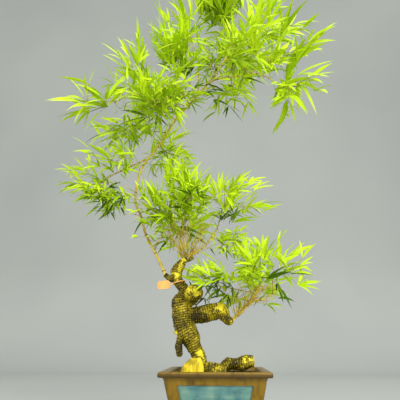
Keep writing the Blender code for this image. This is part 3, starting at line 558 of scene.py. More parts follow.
def rounded_outline(corners, radius):
    """A closed outline through straight sides and rounded corners."""
    points = []
    for index, corner in enumerate(corners):
        before, after = corners[index - 1], corners[(index + 1) % len(corners)]
        start = corner + (before - corner).normalized() * radius
        end = corner + (after - corner).normalized() * radius
        for step in range(ROUND_STEPS + 1):
            share = step / ROUND_STEPS
            points.append(start.lerp(corner, share).lerp(corner.lerp(end, share), share))
    return points


def bead_round_panel(outward):
    """A bead half sunk along a panel's edge: its points and faces."""
    path = rounded_outline([on_wall(*corner) for corner in PANEL_CORNERS], BEAD_CORNER)
    points = []
    for index, place in enumerate(path):
        ahead = (path[(index + 1) % len(path)] - path[index - 1]).normalized()
        aside = ahead.cross(outward)
        points += [place + BEAD_RADIUS * out for _, out in ring_round(aside, outward, BEAD_SIDES)]
    return points, tube_faces(len(path), BEAD_SIDES, closed=True)


def box_cutter(corners_low, corners_high):
    """A closed block between two four-cornered faces, for a Boolean."""
    faces = [(3, 2, 1, 0), (4, 5, 6, 7)]
    faces += [(side, (side + 1) % 4, (side + 1) % 4 + 4, side + 4) for side in range(4)]
    return add_object("cutter", mesh_of("cutter", [*corners_low, *corners_high], faces))


def pot_cutters():
    """Blocks for the four panels' recesses and the four notches that leave the pot its feet."""
    cutters = []
    for quarter in range(4):
        turn = quarter_turn(quarter)
        deep = [turn @ on_wall(*corner, -PANEL_SUNK - PANEL_THICK) for corner in PANEL_CORNERS]
        proud = [turn @ on_wall(*corner, CUTTER_PROUD) for corner in PANEL_CORNERS]
        cutters.append(box_cutter(deep, proud))
        spread = [(x * NOTCH_LENGTH / 2, y * NOTCH_DEPTH - PLINTH_HALF) for x, y in NOTCH_CORNERS]
        low = [turn @ Vector((x * NOTCH_SPLAY, y, -NOTCH_BELOW)) for x, y in spread]
        high = [turn @ Vector((x * NOTCH_NARROW, y, NOTCH_HEIGHT)) for x, y in spread]
        cutters.append(box_cutter(low, high))
    return cutters


def cut_away(piece, cutters):
    """Cuts every block out of a piece, and removes the blocks."""
    for cutter in cutters:
        boolean = piece.modifiers.new("cut", "BOOLEAN")
        boolean.object, boolean.operation, boolean.solver = cutter, "DIFFERENCE", "EXACT"
    bpy.context.view_layer.update()
    mesh = bpy.data.meshes.new_from_object(piece.evaluated_get(bpy.context.evaluated_depsgraph_get()))
    piece.modifiers.clear()
    piece.data = mesh
    for cutter in cutters:
        bpy.data.objects.remove(cutter, do_unlink=True)


def throw_pot(look):
    """The pot's body, with its panels' recesses, its feet and a bead round each recess."""
    pile = Pile("thin")
    profile = pot_profile()
    verts, thin = [], []
    for half, height, thinness in profile:
        for point in rounded_square(half, CORNER, height):
            uneven = noise.noise(point * POT_UNEVEN_SCALE) * POT_UNEVEN * min(1, height / WALL_FOOT)
            level = Vector((point.x, point.y, 0)).normalized()
            verts.append(point + level * (uneven - POT_UNEVEN * 0.6))
            thin.append(thinness)
    verts += [Vector((0, 0, FOOT_HOLLOW)), Vector((0, 0, INNER_FLOOR))]
    sides = len(verts) // len(profile)
    pile.add(verts, loft_faces(len(profile), sides), thin=[*thin, 0, 0])
    pot = add_object("pot_body", pile.mesh("pot_body"))
    cut_away(pot, pot_cutters())

    bm = bmesh.new()
    bm.from_mesh(pot.data)
    bpy.data.objects.remove(pot, do_unlink=True)
    beads = Pile("thin")
    for quarter in range(4):
        turn = quarter_turn(quarter)
        points, faces = bead_round_panel(wall_axes()[1])
        beads.add([turn @ point for point in points], faces, thin=[BEAD_GLAZE] * len(points))
    bm.from_mesh(beads.mesh("beads"))
    mesh = bpy.data.meshes.new("pot_body")
    bm.to_mesh(mesh)
    bm.free()
    mesh.shade_smooth()
    mesh.set_sharp_from_angle(angle=math.radians(38))
    add_piece("glazed_pot", mesh, pot_glaze(look), ["pot"])


def fire_panels(look):
    """Four glazed panels, a little uneven, that round off into their recesses."""
    material = panel_glaze(look)
    rise, outward = wall_axes()
    for quarter, side in enumerate(SIDES):
        turn = quarter_turn(quarter)
        verts, wash = [], []
        for row in range(PANEL_ROWS + 1):
            for column in range(PANEL_COLUMNS + 1):
                across, up = 2 * column / PANEL_COLUMNS - 1, row / PANEL_ROWS
                face = on_wall(across, up)
                to_side = (1 - abs(across)) * (wall_half(face.z) - PANEL_POST)
                to_end = min(up, 1 - up) * (PANEL_HIGH - PANEL_LOW)
                rounding = max(0, 1 - min(to_side, to_end) / PANEL_EDGE) ** 2 * PANEL_ROUND
                uneven = noise.noise(face * PANEL_UNEVEN_SCALE + UP * quarter * 7) * PANEL_UNEVEN
                depth = -PANEL_SUNK - rounding + uneven
                inset = Vector((-across, 0, 0)) * GAP + rise * GAP * (1 - 2 * up)
                verts.append(turn @ (face + outward * depth + inset))
                wash.append(max(0, 1 - up * 0.9) * max(0, 1 - abs(across) ** 3))
        first = len(verts)
        verts += [turn @ on_wall(*corner, -PANEL_SUNK - PANEL_THICK + GAP) for corner in PANEL_CORNERS]
        faces = grid_faces(PANEL_COLUMNS, PANEL_ROWS)
        for index, rim in enumerate(grid_sides(PANEL_COLUMNS, PANEL_ROWS)):
            faces.append((*reversed(rim), first + index, first + (index + 1) % 4))
        faces.append(tuple(first + index for index in (3, 2, 1, 0)))
        mesh = mesh_of(f"panel_{side}", verts, faces, {"wash": [*wash, 0, 0, 0, 0]})
        mesh.set_sharp_from_angle(angle=math.radians(50))
        add_piece(f"glazed_panel_{side}", mesh, material, [f"panel_{side}"])


# Soil

SOIL_DROP, SOIL_EDGE_DROP = 0.0012, 0.0042
SOIL_RINGS = 34
SOIL_CLOD, SOIL_CRUMB = 0.0016, 0.0006
CLOD_SCALE, CRUMB_SCALE = 70, 230
CRUMBS = 1500
CRUMB_SIZES, CRUMB_STRETCH, CRUMB_SUNK = (0.0006, 0.0017), (0.6, 1.2), 0.3
CRUMB_SPREAD = 0.97
SOIL_SEED = 3


def soil_half(height):
    """Half the width that the pot leaves for soil at a height."""
    slope = (INNER_TOP_HALF - INNER_FLOOR_HALF) / (RIM_TOP - LIP_ROUND - INNER_FLOOR)
    return INNER_FLOOR_HALF + slope * (height - INNER_FLOOR) - 2 * GAP


def soil_height(x, y):
    """The soil's surface: a low crown with clods, sinking towards the pot's walls."""
    edge = max(abs(x), abs(y)) / soil_half(SOIL_TOP)
    clods = noise.noise(Vector((x, y, 0)) * CLOD_SCALE) * SOIL_CLOD
    clods += noise.noise(Vector((x, y, 1)) * CRUMB_SCALE) * SOIL_CRUMB
    return SOIL_TOP - SOIL_DROP - SOIL_EDGE_DROP * edge**5 + clods * min(1, 1.4 - edge)


def crumb_shape():
    """An icosahedron's points and faces."""
    bm = bmesh.new()
    bmesh.ops.create_icosphere(bm, subdivisions=1, radius=1)
    points = [vert.co.copy() for vert in bm.verts]
    faces = [tuple(vert.index for vert in face.verts) for face in bm.faces]
    bm.free()
    return points, faces


def fill_pot(look):
    """Soil with clods, and loose crumbs on it."""
    verts = []
    half_top = soil_half(SOIL_TOP - SOIL_EDGE_DROP)
    for ring in range(1, SOIL_RINGS + 1):
        half = half_top * (1 - ring / (SOIL_RINGS + 1))
        for point in rounded_square(half, CORNER, 0):
            verts.append(Vector((point.x, point.y, soil_height(point.x, point.y))))
    edge = [Vector((p.x, p.y, SOIL_TOP - SOIL_EDGE_DROP)) for p in rounded_square(half_top, CORNER, 0)]
    foot = rounded_square(soil_half(INNER_FLOOR), CORNER, INNER_FLOOR + GAP)
    verts = foot + edge + verts
    verts += [Vector((0, 0, INNER_FLOOR + GAP)), Vector((0, 0, soil_height(0, 0)))]
    pile = Pile()
    pile.add(verts, loft_faces(SOIL_RINGS + 2, len(edge)))
    points, faces = crumb_shape()
    chance = random.Random(SOIL_SEED)
    for _ in range(CRUMBS):
        x, y = (chance.uniform(-1, 1) * half_top * CRUMB_SPREAD for _ in "xy")
        size = chance.uniform(*CRUMB_SIZES)
        angle = chance.uniform(0, math.tau)
        turn = Matrix.Rotation(angle, 3, Vector((chance.random(), 1, chance.random())))
        shape = Vector([chance.uniform(*CRUMB_STRETCH) * size for _ in "xyz"])
        place = Vector((x, y, soil_height(x, y) + size * CRUMB_SUNK))
        pile.add([place + turn @ (point * shape) for point in points], faces)
    add_piece("soil_surface", pile, soil_finish(look), ["soil"])


# Limbs: the part's own routes, as rows of x, y, z and radius in mm

TRUNK = (
    (-24, 0, 140, 19), (-29, 0, 162, 15), (-36, 0, 186, 15.5), (-47, 0, 206, 17),
    (-58, 0, 227, 21.5), (-68, 0, 248, 23.5), (-73, 0, 272, 23), (-76, 0, 294, 22),
    (-76, 0, 309, 19), (-75, 0, 318, 11),
)
NECK = (
    (-62, 0, 298, 14), (-68, 0, 322, 12), (-82, 0, 343, 12.5), (-90, 0, 359, 12.5),
    (-87, 0, 374, 12), (-79, 0, 387, 10), (-70, 0, 401, 7),
)
KNOB = (
    (-66, 2, 300, 13), (-56, -12, 309, 16.5), (-48, -24, 315, 18.5), (-43, -32, 318, 17),
    (-40, -37, 320, 11),
)
ARM = ((-68, 8, 271, 15), (-42, 5, 272, 18.5), (-14, 2, 276, 17.5), (8, 0, 280, 17), (27, -2, 284, 16))
ARM_BUD = ((12, -2, 272, 10), (24, -4, 263, 10.5), (33, -4, 257, 8.5))
HANGING_STUMP = ((-64, -4, 240, 7), (-74, -8, 226, 8), (-79, -8, 208, 7.5), (-78, -8, 189, 6))
MIDDLE_RHIZOME = ((-30, -14, 160, 13), (-16, -22, 163, 12), (2, -21, 162, 12.5), (20, -18, 158, 9))
RIGHT_RHIZOME = ((12, -8, 163, 11), (30, -2, 169, 12.5), (54, 0, 173, 13), (80, 1, 174, 13))
TRUNK_STEP, STUMP_STEP, BUD_STEP = 0.016, 0.013, 0.010
ARM_CUT = ((24, 0, 290), (0.75, -0.25, 0.6))
CULM = (
    (-88, 0, 350, 7), (-104, 0, 353, 6.5), (-114, 0, 361, 5.2), (-121, -1, 376, 3.8),
    (-141, -5, 416, 3.5), (-164, -10, 459, 3.3), (-176, -15, 500, 3.2), (-191, -20, 538, 3.1),
    (-186, -30, 588, 3.0), (-170, -40, 629, 2.9), (-133, -50, 674, 2.8), (-96, -60, 733, 2.8),
    (-53, -70, 781, 2.7), (-25, -75, 815, 2.6),
)
CULM_SPLITS = (538, 733)
CULM_NODES = ("culm_low", "culm_mid", "culm_top")
CANE_STEP = 0.022
Cane = namedtuple("Cane", "name parent share route radius tip_radius")
CANES = (
    Cane("leader", "culm_top", 1.0,
         ((3, -80, 847), (29, -85, 887), (44, -90, 917), (60, -97, 962)), 2.5, 1.9),
    Cane("crown_bough_left", "culm_top", 0.9, ((-33, -84, 850), (-34, -90, 900)), 2.1, 1.7),
    Cane("crown_bough_right", "leader", 0.2,
         ((40, -84, 845), (92, -95, 842), (128, -108, 862)), 2.2, 1.7),
    Cane("crown_bough_low", "crown_bough_right", 0.68, ((120, -102, 838), (150, -105, 812)), 1.9, 1.6),
    Cane("left_high_bough", "culm_top", 0.06,
         ((-131, -72, 765), (-168, -82, 790), (-206, -90, 800)), 2.3, 1.7),
    Cane("left_low_bough", "culm_mid", 0.47,
         ((-208, -30, 627), (-248, -22, 612), (-268, -18, 602)), 2.2, 1.7),
    Cane("pad_cane_left", "trunk", 0.985, ((-82, -2, 425), (-77, -6, 462), (-72, -10, 484)), 2.4, 1.9),
    Cane("pad_cane_right", "trunk", 1.0, ((-46, -2, 412), (-20, -4, 431), (6, -6, 466)), 2.5, 1.9),
    Cane("arm_cane", "arm_bud", 1.0, ((52, -3, 272), (69, -2, 288), (87, 0, 302)), 2.9, 2.4),
    Cane("arm_cane_up", "arm_cane", 0.93, ((97, -2, 322), (104, -4, 338)), 2.2, 1.8),
    Cane("arm_cane_right", "arm_cane", 1.0, ((106, 0, 305), (128, -2, 316)), 2.3, 1.8),
)


def smooth(route, step):
    """Rows of x, y, z and radius on a Catmull-Rom curve through a route's own, about a step apart."""
    rows = [Vector(row) * MM for row in route]
    rows = [2 * rows[0] - rows[1], *rows, 2 * rows[-1] - rows[-2]]
    run = []
    for before, start, end, after in zip(rows, rows[1:], rows[2:], rows[3:]):
        count = max(1, round((end - start).length / step))
        for index in range(count):
            t = index / count
            curve = 2 * start + (end - before) * t
            curve += (2 * before - 5 * start + 4 * end - after) * t**2
            curve += (3 * start - before - 3 * end + after) * t**3
            run.append(0.5 * curve)
    run.append(rows[-2])
    return run


def place_on(run, share):
    """The point, direction and radius of a limb, a share of the way along it."""
    lengths = [(end.xyz - start.xyz).length for start, end in zip(run, run[1:])]
    left = share * sum(lengths)
    for start, end, length in zip(run, run[1:], lengths):
        if left <= length or end is run[-1]:
            break
        left -= length
    row = start.lerp(end, min(1, left / length))
    return row.xyz, (end.xyz - start.xyz).normalized(), row.w


def root_on(run, share, toward, radius):
    """Where a limb of a given radius starts, so that it stands clear of the limb it grows on."""
    point, along, thick = place_on(run, share)
    lean = (toward - point).normalized().dot(along)
    if share == 1.0:
        return point + along * (GAP + radius * math.sqrt(1 - lean**2))
    across = (toward - point) - along * (toward - point).dot(along)
    return point + across.normalized() * (thick + GAP + radius * abs(lean))


def split_run(run, heights):
    """Cuts a run at the rows nearest to some heights, with a gap at each cut even where it bends."""
    pieces, first = [], 0
    for height in heights:
        last = min(range(len(run)), key=lambda index: abs(run[index].z - height * MM))
        pieces.append(run[first : last + 1])
        first = last
    pieces.append(run[first:])
    for before, piece in zip(pieces, pieces[1:]):
        along = (piece[1].xyz - piece[0].xyz).normalized()
        lean = along.dot((before[-1].xyz - before[-2].xyz).normalized())
        start = piece[0].xyz + along * (GAP + piece[0].w * math.sqrt(1 - lean**2))
        piece[0] = Vector((*start, piece[0].w))
    return pieces


def limb_runs():
    """Each limb's run of rows by name, as the part lays them, and each cane's route with its root."""
    runs = {"trunk_foot": smooth(TRUNK, TRUNK_STEP), "trunk": smooth(NECK, TRUNK_STEP)}
    for name, route in (("trunk_knob", KNOB), ("arm", ARM), ("hanging_stump", HANGING_STUMP),
                        ("middle_rhizome", MIDDLE_RHIZOME), ("right_rhizome", RIGHT_RHIZOME)):
        runs[name] = smooth(route, STUMP_STEP)
    runs["arm_bud"] = smooth(ARM_BUD, BUD_STEP)
    runs.update(zip(CULM_NODES, split_run(smooth(CULM, CANE_STEP), CULM_SPLITS)))
    routes = {}
    for cane in CANES:
        root = root_on(runs[cane.parent], cane.share, Vector(cane.route[0]) * MM, cane.radius * MM)
        places = [root / MM, *(Vector(row) for row in cane.route)]
        taper = (cane.tip_radius - cane.radius) / len(cane.route)
        radii = [cane.radius + taper * index for index in range(len(places))]
        routes[cane.name] = [(*place, radius) for place, radius in zip(places, radii)]
        runs[cane.name] = smooth(routes[cane.name], CANE_STEP)
    return runs, routes


# Bark

DOME_STEPS = 7
CUT_ENDS, STUMP_ENDS = (0.22, 0.22), (0.22, 0.8)
LUMP_SIZE, FINE_LUMP_SIZE = 0.024, 0.008
LUMP_DEPTH, FINE_LUMP_DEPTH = 0.0027, 0.0011
SUNK_SPOTS = ((-32, 0, 172, 34), (-42, 0, 196, 26))
SUNK_DEPTH = 0.0032
RING_WAVE, WAVE_SCALE = 0.55, 30
NUB_SUNK = 0.45
LEAST_SHARE = 0.3
NUB_STRAY, NUB_COUNT_RANGE = 0.7, 5
NUB_LONG, NUB_WIDE = 1.5, 2.2
EYE_SIZE, EYE_DEPTH = 0.1, 0.25
RIDGE_SHARE, NUB_SHARE = 0.45, 0.55
LEAST_COLUMNS = 7
SPOT_GRAIN, SPOT_UNEVEN = 0.009, 0.009
GOLD_SMOOTHS, WORN_SHARE = 0.75, 0.56
END_FADE, POLE_BULGE, POLE_RELIEF = 1.4, 0.2, 0.7
PRESSED = 0.85
BARK_SEED = 3
ROUTES_AT_MOST = 5

# Where the bark is worn golden or cut, and where it is dark with moss and with painted shade under the
# arm and the knob and down the trunk's left side: x, y, z and reach in mm
GOLD_SPOTS = (
    (24, -8, 293, 24), (-32, -17, 188, 12), (-27, -15, 168, 12), (22, -14, 282, 10),
    (12, -12, 290, 12), (-52, -42, 324, 15), (-38, -38, 316, 14), (-60, -36, 310, 13),
    (-46, -48, 312, 10), (-66, -28, 324, 9), (-88, -13, 352, 10), (-85, -12, 362, 11),
    (-80, -12, 373, 11), (-75, -12, 384, 11), (-70, -10, 394, 10), (83, -8, 176, 18),
    (74, -12, 182, 9), (64, -12, 182, 8), (34, -8, 255, 10), (-86, -12, 234, 8),
)
WORN_SPOTS = (
    (-16, -16, 178, 20), (-26, -20, 200, 26), (-38, -22, 222, 20), (-2, -14, 286, 26),
    (-52, -20, 245, 18), (-30, -14, 160, 16), (0, -32, 160, 16), (60, -14, 178, 13),
    (-72, -22, 292, 20),
)
MOSS_AND_SHADE_SPOTS = (
    (-106, -4, 353, 16), (-44, -10, 264, 20), (-24, -8, 256, 14), (-78, -10, 200, 22),
    (-94, -4, 262, 20), (-96, -4, 300, 18), (-30, -30, 300, 12), (24, -10, 162, 12),
    (42, -8, 172, 17), (-62, -4, 398, 9),
)


def domed(rows, low, high):
    """A run with rows that round off its ends, each dome's height given as a share of its radius."""
    ends = []
    for end, inner, height in ((rows[0], rows[1], low), (rows[-1], rows[-2], high)):
        out = (end.xyz - inner.xyz).normalized()
        dome = []
        for step in range(1, DOME_STEPS + 1):
            angle = step / (DOME_STEPS + 0.5) * math.pi / 2
            place = end.xyz + out * end.w * height * math.sin(angle)
            dome.append(Vector((*place, end.w * math.cos(angle))))
        ends.append(dome)
    return [*reversed(ends[0]), *rows, *ends[1]]


def carried_frames(rows):
    """For every row the directions to its front and side, turned as little as the run allows."""
    frames = []
    front = Vector((0, -1, 0.01))
    for index in range(len(rows)):
        ahead = rows[min(index + 1, len(rows) - 1)].xyz - rows[max(index - 1, 0)].xyz
        along = ahead.normalized()
        front = (front - along * front.dot(along)).normalized()
        frames.append((front, along.cross(front)))
    return frames


def spot_share(place, spots):
    """How near a place is to the nearest of some uneven spots, from 0 to 1."""
    place = place + noise.noise_vector(place / SPOT_GRAIN) * SPOT_UNEVEN
    nearest = min((place - Vector(spot[:3]) * MM).length / (spot[3] * MM) for spot in spots)
    return max(0, 1 - nearest**2)


def chance_at(*numbers):
    """An even draw from 0 to 1 that belongs to some numbers."""
    return noise.cell(Vector(numbers)) / 2 + 0.5


def nub_relief(distance, turn, columns, ring_width, seed):
    """Bark's height, from 0 in the gaps to 1 on a nub: wavy rings, each with its own row of nubs."""
    place = Vector((math.cos(turn), math.sin(turn), distance * WAVE_SCALE + seed * 9))
    ring = distance / ring_width + RING_WAVE * noise.noise(place)
    number = math.floor(ring)
    count = columns + math.floor(chance_at(number, seed, 3.5) * NUB_COUNT_RANGE) - NUB_COUNT_RANGE // 2
    cell = turn / math.tau * count + chance_at(number, seed, 0.5) * 3
    column = math.floor(cell)
    stray = NUB_STRAY * (chance_at(number, column % count, seed + 7.5) - 0.5)
    along, across = 2 * (ring - number) - 1, 2 * (cell - column) - 1 + stray
    strength = LEAST_SHARE + (1 - LEAST_SHARE) * chance_at(number, column % count, seed + 0.5)
    nub = math.exp(-(along**2 * NUB_LONG + across**2 * NUB_WIDE))
    eye = math.exp(-((along**2 + across**2) / EYE_SIZE)) * EYE_DEPTH
    ridge = max(0, 1 - along**4)
    return RIDGE_SHARE * ridge + NUB_SHARE * strength * (nub - eye)


def bark_limb(pile, route, limb, look, seed):
    """Adds the bark of one of a limb's routes to a pile. Past the limb's cut it is pressed flat."""
    rows = domed(smooth(route, look.bark_step), *limb.ends)
    thickest = max(row.w for row in rows)
    sides = round(math.tau * thickest / look.bark_step)
    columns = max(LEAST_COLUMNS, round(math.tau * thickest / look.nub_width))
    verts, relief, gold, moss = [], [], [], []
    distance = 0
    last = rows[0].xyz
    for row, (front, aside) in zip(rows, carried_frames(rows)):
        distance += (row.xyz - last).length
        last = row.xyz
        for turn, out in ring_round(front, aside, sides):
            place = row.xyz + out * row.w
            # Darker patches: moss, and painted shade where the arm, the knob and the trunk's left side
            # turn from the light
            golden, moss_and_shade_here = spot_share(place, GOLD_SPOTS), spot_share(place, MOSS_AND_SHADE_SPOTS)
            worn = spot_share(place, WORN_SPOTS)
            height = nub_relief(distance, turn, columns, look.ring_width, seed)
            lumps = noise.noise(place / LUMP_SIZE) * LUMP_DEPTH * limb.lumpy
            lumps += noise.noise(place / FINE_LUMP_SIZE) * FINE_LUMP_DEPTH
            lumps -= spot_share(place, SUNK_SPOTS) * SUNK_DEPTH
            depth = look.nub_depth * limb.nubs * (height - NUB_SUNK) * (1 - GOLD_SMOOTHS * golden)
            share = min(1, row.w / thickest * END_FADE)
            verts.append(place + out * (lumps + depth) * share)
            # The nubs' height, which the bark's colour turns into painted shade in the gaps and painted
            # highlight on the tops
            relief.append(height)
            gold.append(min(1, golden + WORN_SHARE * worn))
            moss.append(moss_and_shade_here)
    for pole, inner in ((rows[0], rows[1]), (rows[-1], rows[-2])):
        verts.append(pole.xyz + (pole.xyz - inner.xyz) * POLE_BULGE)
        relief.append(POLE_RELIEF)
        gold.append(spot_share(pole.xyz, GOLD_SPOTS))
        moss.append(spot_share(pole.xyz, MOSS_AND_SHADE_SPOTS))
    if limb.cut:
        plane, outward = Vector(limb.cut[0]) * MM, Vector(limb.cut[1]).normalized()
        for index, vert in enumerate(verts):
            beyond = (vert - plane).dot(outward)
            if beyond > 0:
                verts[index] = vert - outward * beyond * PRESSED
    pile.add(verts, loft_faces(len(rows), sides), relief=relief, gold=gold, moss=moss)


NODULE = ((-78, -6, 236, 5), (-84, -8, 235, 6), (-88, -8, 234, 4))
NECK_SPUR = ((-72, -2, 392, 5), (-60, -4, 396, 4), (-50, -4, 401, 2.6))
CULM_ROOT = ((-86, 0, 351, 8.5), (-98, -1, 352, 8), (-108, 0, 356, 6.5), (-114, 0, 361, 5.2))
Limb = namedtuple("Limb", "piece node routes ends nubs lumpy cut", defaults=(None,))
BARKED = (
    Limb("trunk_bark", "trunk", (TRUNK, NECK, NODULE, NECK_SPUR, CULM_ROOT), STUMP_ENDS, 1.0, 1.2),
    Limb("knob_bark", "trunk_knob", (KNOB,), STUMP_ENDS, 0.8, 1.8),
    Limb("arm_bark", "arm", (ARM,), CUT_ENDS, 1.0, 1.5, ARM_CUT),
    Limb("bud_bark", "arm_bud", (ARM_BUD,), STUMP_ENDS, 0.6, 1.0),
    Limb("hanging_stump_bark", "hanging_stump", (HANGING_STUMP,), STUMP_ENDS, 0.5, 1.0),
    Limb("middle_rhizome_bark", "middle_rhizome", (MIDDLE_RHIZOME,), CUT_ENDS, 0.9, 1.6),
    Limb("right_rhizome_bark", "right_rhizome", (RIGHT_RHIZOME,), CUT_ENDS, 0.8, 2.4),
)


def carve_rhizome(look):
    """The rhizome's limbs, each skinned with rings of nubs."""
    noise.seed_set(BARK_SEED)
    material = bark_finish(look)
    for number, limb in enumerate(BARKED):
        pile = Pile("relief", "gold", "moss")
        for index, route in enumerate(limb.routes):
            bark_limb(pile, route, limb, look, number * ROUTES_AT_MOST + index)
        add_piece(limb.piece, pile, material, [limb.node])


# Chopped wedge of root

WEDGE_POINTS = (
    (-72, -44, 150), (-66, -54, 150), (-34, -56, 150), (-24, -50, 150), (-24, -32, 150),
    (-38, -25, 150), (-62, -26, 150), (-73, -36, 150), (-71, -46, 163), (-69, -34, 165),
    (-62, -51, 173), (-61, -32, 174), (-50, -50, 183), (-33, -51, 184), (-50, -34, 182),
    (-32, -34, 184), (-27, -49, 176), (-26, -35, 175),
)
WEDGE_ROUND, WEDGE_ROUND_STEPS, WEDGE_CUTS = 0.0022, 3, 5
WEDGE_FLAT = math.radians(9)
FIBRE_DEPTH, FIBRE_SCALE = 0.0006, Vector((420, 420, 40))
DENT_DEPTH, DENT_SCALE = 0.0018, 90
# Painted light on the wedge: how far a face may turn from +X and still be painted lit
PAINTED_LIGHT_FROM = 0.3


def in_order(bm):
    """The same body with its faces sorted, because some tools leave them in a chance order."""
    bm.verts.index_update()
    faces = []
    for face in bm.faces:
        corners = [vert.index for vert in face.verts]
        first = corners.index(min(corners))
        faces.append((*corners[first:], *corners[:first]))
    laid = bmesh.new()
    laid.from_mesh(mesh_of("laid", [vert.co.copy() for vert in bm.verts], sorted(faces)))
    bm.free()
    return laid


def chop_wedge(look):
    """A chopped block with a few broad faces, their ridges worn round and their fibres standing up."""
    bm = bmesh.new()
    for point in WEDGE_POINTS:
        bm.verts.new(Vector(point) * MM)
    bmesh.ops.convex_hull(bm, input=bm.verts[:])
    bm = in_order(bm)
    bmesh.ops.dissolve_limit(bm, angle_limit=WEDGE_FLAT, verts=bm.verts[:], edges=bm.edges[:])
    bmesh.ops.bevel(bm, geom=bm.edges[:], offset=WEDGE_ROUND, segments=WEDGE_ROUND_STEPS, profile=0.5,
                    affect="EDGES")
    bmesh.ops.triangulate(bm, faces=bm.faces[:])
    bm = in_order(bm)
    bmesh.ops.subdivide_edges(bm, edges=bm.edges[:], cuts=WEDGE_CUTS, use_grid_fill=True)
    bm.normal_update()
    moves = []
    for vert in bm.verts:
        fibres = noise.noise(vert.co * FIBRE_SCALE) * FIBRE_DEPTH
        dents = noise.noise(vert.co * DENT_SCALE) * DENT_DEPTH
        moves.append(vert.normal * (fibres + dents))
    for vert, move in zip(bm.verts, moves):
        vert.co += move
    bm.normal_update()
    # Painted light for the wedge's colour, from each point's normal: lighter toward +X, painted shade
    # elsewhere
    lit = [max(0, vert.normal.x + PAINTED_LIGHT_FROM) for vert in bm.verts]
    mesh = bpy.data.meshes.new("wedge")
    bm.to_mesh(mesh)
    bm.free()
    mesh.shade_smooth()
    store(mesh, "lit", lit)
    add_piece("root_wedge_wood", mesh, cut_wood_finish(look), ["root_wedge"])


# Canes

CANE_ROW, WHIP_ROW = 0.0016, 0.0024
CANE_SIDES, CULM_SIDES, WHIP_SIDES = 10, 14, 7
CULM_JOINTS = (376, 416, 459, 500, 538, 563, 629, 674, 757, 800)
JOINT_SPACING = (0.024, 0.036)
JOINT_WIDTH, JOINT_SWELL, JOINT_NECK = 0.0013, 0.3, 0.08
JOINT_NECK_AT, FIRST_JOINT = 2.2, 0.6
CANE_END = 0.3
SLIM = 0.88
CULM_SHOWS_ABOVE, CULM_SHOWS_PAST = 0.351, -0.1
CANE_SEED = 11


def cane_skin(pile, rows, joints, sides):
    """A cane with a swollen ring at each joint, the joints given as distances along it."""
    rows = domed(rows, CANE_END, CANE_END)
    verts, marks = [], []
    distance, last = 0, rows[0].xyz
    for row, (front, aside) in zip(rows, carried_frames(rows)):
        distance += (row.xyz - last).length
        last = row.xyz
        near = [(distance - joint) / JOINT_WIDTH for joint in joints]
        ring = sum(math.exp(-(gap**2)) for gap in near)
        neck = sum(math.exp(-((gap + JOINT_NECK_AT) ** 2)) for gap in near)
        radius = row.w * (SLIM + JOINT_SWELL * ring - JOINT_NECK * neck)
        verts += [row.xyz + out * radius for _, out in ring_round(front, aside, sides)]
        marks += [min(1, ring)] * sides
    verts += [rows[0].xyz, rows[-1].xyz]
    marks += [0, 0]
    pile.add(verts, loft_faces(len(rows), sides), joint=marks)


def joints_along(rows, chance):
    """Distances of joints along a cane, unevenly spaced."""
    length = sum((end.xyz - start.xyz).length for start, end in zip(rows, rows[1:]))
    joints, distance = [], chance.uniform(*JOINT_SPACING) * FIRST_JOINT
    while distance < length:
        joints.append(distance)
        distance += chance.uniform(*JOINT_SPACING)
    return joints


def joints_at(rows, heights):
    """Distances along a cane at which it passes some heights, in mm."""
    joints, distance = [], 0
    for start, end in zip(rows, rows[1:]):
        if any(start.z < height * MM <= end.z for height in heights):
            joints.append(distance)
        distance += (end.xyz - start.xyz).length
    return joints


PAD_WHIPS = (
    ((-70, -2, 402), (-112, -20, 452), (-150, -40, 500)),
    ((-70, -2, 402), (-118, -20, 470), (-136, -40, 512)),
    ((-72, -2, 404), (-96, -14, 440), (-122, -6, 498)),
    ((-72, -2, 404), (-104, -14, 462), (-112, -30, 518)),
    ((-70, -3, 404), (-92, -16, 466), (-92, -34, 520)),
    ((-68, -4, 404), (-84, -20, 446), (-98, -30, 488)),
    ((-66, -4, 404), (-74, -26, 462), (-62, -58, 512)),
    ((-66, -4, 404), (-70, -14, 440), (-52, -34, 496)),
    ((-62, -2, 402), (-60, -8, 452), (-48, -22, 524)),
    ((-62, 0, 402), (-46, 10, 450), (-22, 22, 500)),
    ((-61, -3, 402), (-44, -12, 436), (-20, -24, 486)),
    ((-60, -3, 402), (-34, -16, 446), (10, -34, 505)),
    ((-66, 2, 402), (-76, 30, 448), (-78, 66, 486)),
    ((-58, -2, 402), (-26, -8, 436), (0, -18, 462)),
    ((-56, -2, 402), (-14, -6, 424), (30, 2, 446)),
)
LOW_WHIPS = (
    ((36, -4, 260), (60, -6, 284), (84, -6, 308)),
    ((36, -6, 261), (56, -8, 276), (92, -8, 306)),
    ((38, -2, 259), (64, 0, 278), (100, 2, 312)),
    ((36, -4, 261), (52, -6, 280), (76, -10, 318)),
    ((42, -3, 263), (60, -12, 296), (58, -30, 336)),
    ((50, -3, 270), (66, -16, 300), (70, -38, 346)),
    ((56, -3, 276), (50, -10, 312), (10, -18, 332)),
    ((60, -3, 280), (78, -18, 300), (104, -34, 336)),
    ((70, -2, 289), (84, 14, 312), (90, 46, 326)),
    ((72, -2, 290), (96, -10, 330), (112, -16, 366)),
    ((80, -1, 296), (112, -8, 324), (140, -14, 348)),
    ((84, 0, 300), (120, 4, 306), (150, 2, 330)),
    ((60, -3, 280), (66, -6, 312), (46, -26, 352)),
    ((48, -3, 268), (44, -8, 300), (22, -20, 322)),
)
